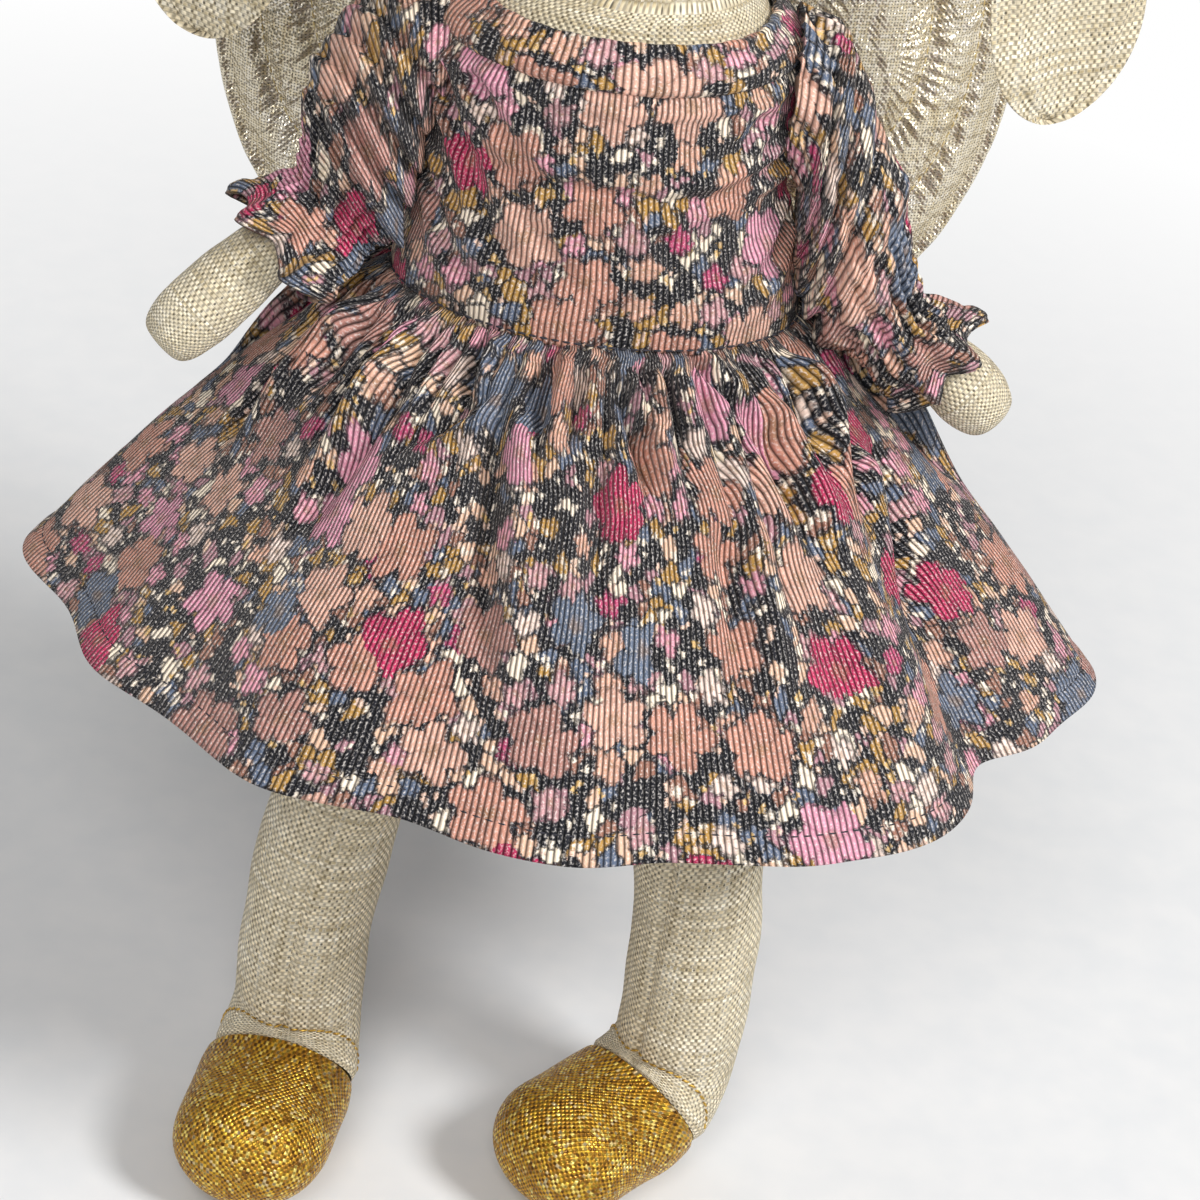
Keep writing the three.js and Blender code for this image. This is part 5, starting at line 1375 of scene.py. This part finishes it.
def flat_wing(u, v):
    """A spot of the flat wing: v goes from the middle of the front out to the edge and back in behind."""
    return wing_outline.at(u % 1).lerp(WING_CENTRE, abs(1 - 2 * v) ** WING_ROW_POWER)


def wing_maker(side):
    def place(u, v):
        spot = flat_wing(u, v)
        from_edge = (wing_outline.at(u % 1) - spot).length
        wavy = 1.4 * rumple(spot, 26, 31) + 0.6 * rumple(spot, 9, 33) * (1 - ease(from_edge, 2, 8))
        half = 0.5 + 2.7 * ease(from_edge, WING_PIPING, WING_PIPING + 8) + 0.55 * hill(from_edge, 1.1, 0.8)
        half = max(0.35, half - 2.1 * quilt_depth(u, from_edge) * ease(from_edge, 1.8, WING_PIPING + 0.4))
        half += 0.4 * rumple(spot, 5, 35) * ease(from_edge, 4, 8)
        half *= math.sqrt(max(0.0, min(1.0, from_edge / 0.6)))
        depth = -half if v < 0.5 else half
        return wing_spot(side, spot.x, depth + wavy, spot.z)

    return place


for side in SIDES:
    wing_body = f"wing_{side}"
    place = wing_maker(side)
    wing = cloth_piece(f"wing_lame_{side}", 300, 104, place, lambda u, v: flat_wing(u, v).xz, LAME)
    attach(wing, wing_body)
    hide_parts(f"wing_front_{side}", f"wing_wadding_{side}", f"wing_back_{side}")
    ahead = Vector((OUTWARDS[side] * math.sin(WING_SWEEP), -math.cos(WING_SWEEP), 0))
    for number, line in enumerate(QUILT_LINES):
        v = (1 - line ** (1 / WING_ROW_POWER)) / 2
        for face, row_at, out in (("front", v, ahead), ("back", 1 - v, -ahead)):
            run = [(place(u, row_at), out) for u in spaced(0.09, 0.8, 160)]
            row = stitch_row(f"wing_quilting_{face}_{number}_{side}", run, 1.8, 0.5, 0.36, 0.05, WING_THREAD)
            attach(row, wing_body)


def patch_place(u, v):
    """An oval patch with a turned edge, pressed into the bodice back on its inner side."""
    from_edge = abs(1 - 2 * v) ** 1.3
    radius = 1 - from_edge
    angle = u * TURN
    half = 0.6 * math.sqrt(max(0.0, min(1.0, from_edge / 0.05))) - 0.25 * hill(from_edge, 0.16, 0.05)
    y = PATCH_BEHIND + (-3 * half if v < 0.5 else half)
    x, z = PATCH_HALF_WIDTH * radius * math.sin(angle), PATCH_HALF_HEIGHT * radius * math.cos(angle)
    return Vector((x, y, PATCH_HEIGHT + z))


def patch_flat(u, v):
    radius = 1 - abs(1 - 2 * v)
    angle = u * TURN
    return (PATCH_HALF_WIDTH * radius * math.sin(angle), PATCH_HALF_HEIGHT * radius * math.cos(angle))


patch = cloth_piece("wing_patch_lame", 72, 40, patch_place, patch_flat, LAME)
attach(patch, "torso")
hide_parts("wing_patch")

for name in ("press_stud_lower", "press_stud_upper"):
    low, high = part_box(name)
    middle = (low + high) / 2
    bm = bmesh.new()
    turn = Matrix.Translation(middle) @ Matrix.Rotation(TURN / 4, 4, "X")
    bmesh.ops.create_circle(bm, cap_ends=True, segments=40, radius=STUD_RADIUS * MM, matrix=turn)
    disc = bm.faces[:]
    for inset, rise in ((0.3, 0.35), (1.0, 0.1), (0.4, -0.2), (0.5, 0.2)):
        bmesh.ops.inset_region(bm, faces=disc, thickness=inset * MM, depth=rise * MM)
    bmesh.ops.solidify(bm, geom=bm.faces[:], thickness=STUD_THICKNESS * MM)
    bmesh.ops.recalc_face_normals(bm, faces=bm.faces)
    stud = finish_piece(name.replace("press_stud", "snap"), bm, STEEL)
    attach(stud, "torso")
    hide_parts(name)

# Floor, light and camera

bm = bmesh.new()
bmesh.ops.create_grid(bm, x_segments=1, y_segments=1, size=FLOOR_REACH,
                      matrix=Matrix.Translation((0, 0, (SOLE_HEIGHT - FLOOR_DROP) * MM)))
floor_mesh = bpy.data.meshes.new("floor")
bm.to_mesh(floor_mesh)
bm.free()
floor = bpy.data.objects.new("floor", floor_mesh)
bpy.context.scene.collection.objects.link(floor)
# Matt pale paper that keeps the shadow under the toy and reads as white farther off
floor_finish, tree = new_finish("pale_paper")
spot = add(tree, "TexCoord")["Object"]
grain = add(tree, "TexNoise", {"Vector": spot, "Scale": 1 / PAPER_GRAIN, "Detail": 2.0})[0]
shade = add(tree, "ValToRGB", {0: grain}, stops=[(0.3, "#DFE0E1"), (0.7, "#E4E4E4")])[0]
paper = add(tree, "BsdfPrincipled", {"Base Color": shade, "Roughness": 0.9})[0]
white = add(tree, "Emission", {"Strength": 1.0})[0]
away = add(tree, "VectorMath", {0: spot}, operation="LENGTH")[1]
far = add(tree, "MapRange", {0: away, 1: WHITE_FROM, 2: WHITE_TO})[0]
ray = add(tree, "LightPath")
mirrored = add(tree, "Math", {0: ray["Is Glossy Ray"], 1: ray["Is Transmission Ray"]})[0]
seen = add(tree, "Math", {0: ray["Is Camera Ray"], 1: mirrored}, use_clamp=True)[0]
share = add(tree, "Math", {0: far, 1: seen}, operation="MULTIPLY")[0]
surface = add(tree, "MixShader", {0: share, 1: paper, 2: white})[0]
add(tree, "OutputMaterial", {"Surface": surface})
floor_mesh.materials.append(floor_finish)

world = bpy.data.worlds.new("studio")
bpy.context.scene.world = world
world.use_nodes = True
world.node_tree.nodes.clear()
sky = add(world.node_tree, "Background", {"Color": colour("#FFFFFF"), "Strength": WORLD_LIGHT})
add(world.node_tree, "OutputWorld", {"Surface": sky[0]})


def softbox(name, spot, target, size, power):
    """A round soft lamp, in metres and watts, that faces a target."""
    lamp = bpy.data.lights.new(name, "AREA")
    lamp.shape = "DISK"
    lamp.size = size
    lamp.energy = power
    piece = bpy.data.objects.new(name, lamp)
    piece.location = spot
    piece.rotation_euler = (Vector(target) - Vector(spot)).to_track_quat("-Z", "Y").to_euler()
    bpy.context.scene.collection.objects.link(piece)


softbox("key_softbox", (1.03, -0.68, 1.2), (0, 0, 0), 0.5, 24.5)
softbox("fill_softbox", (-0.3, -1.3, 1.15), (0, 0, 0.05), 0.9, 16)
softbox("back_softbox", (-0.6, 1.2, 1.2), (0, 0, 0), 1.0, 4)

# The lens and the camera's place were worked out from points of the toy in the photograph
lens = bpy.data.cameras.new("camera")
lens.sensor_width = 36
lens.lens = 104.8
lens.clip_start = 0.01
camera = bpy.data.objects.new("camera", lens)
camera.matrix_world = Matrix((
    (0.99091, -0.11530, -0.06931, -0.03964),
    (0.00588, 0.55180, -0.83396, -0.60966),
    (0.13440, 0.82597, 0.54746, 0.36307),
    (0, 0, 0, 1),
))
bpy.context.scene.collection.objects.link(camera)
bpy.context.scene.camera = camera
bpy.context.scene.view_settings.view_transform = "Standard"
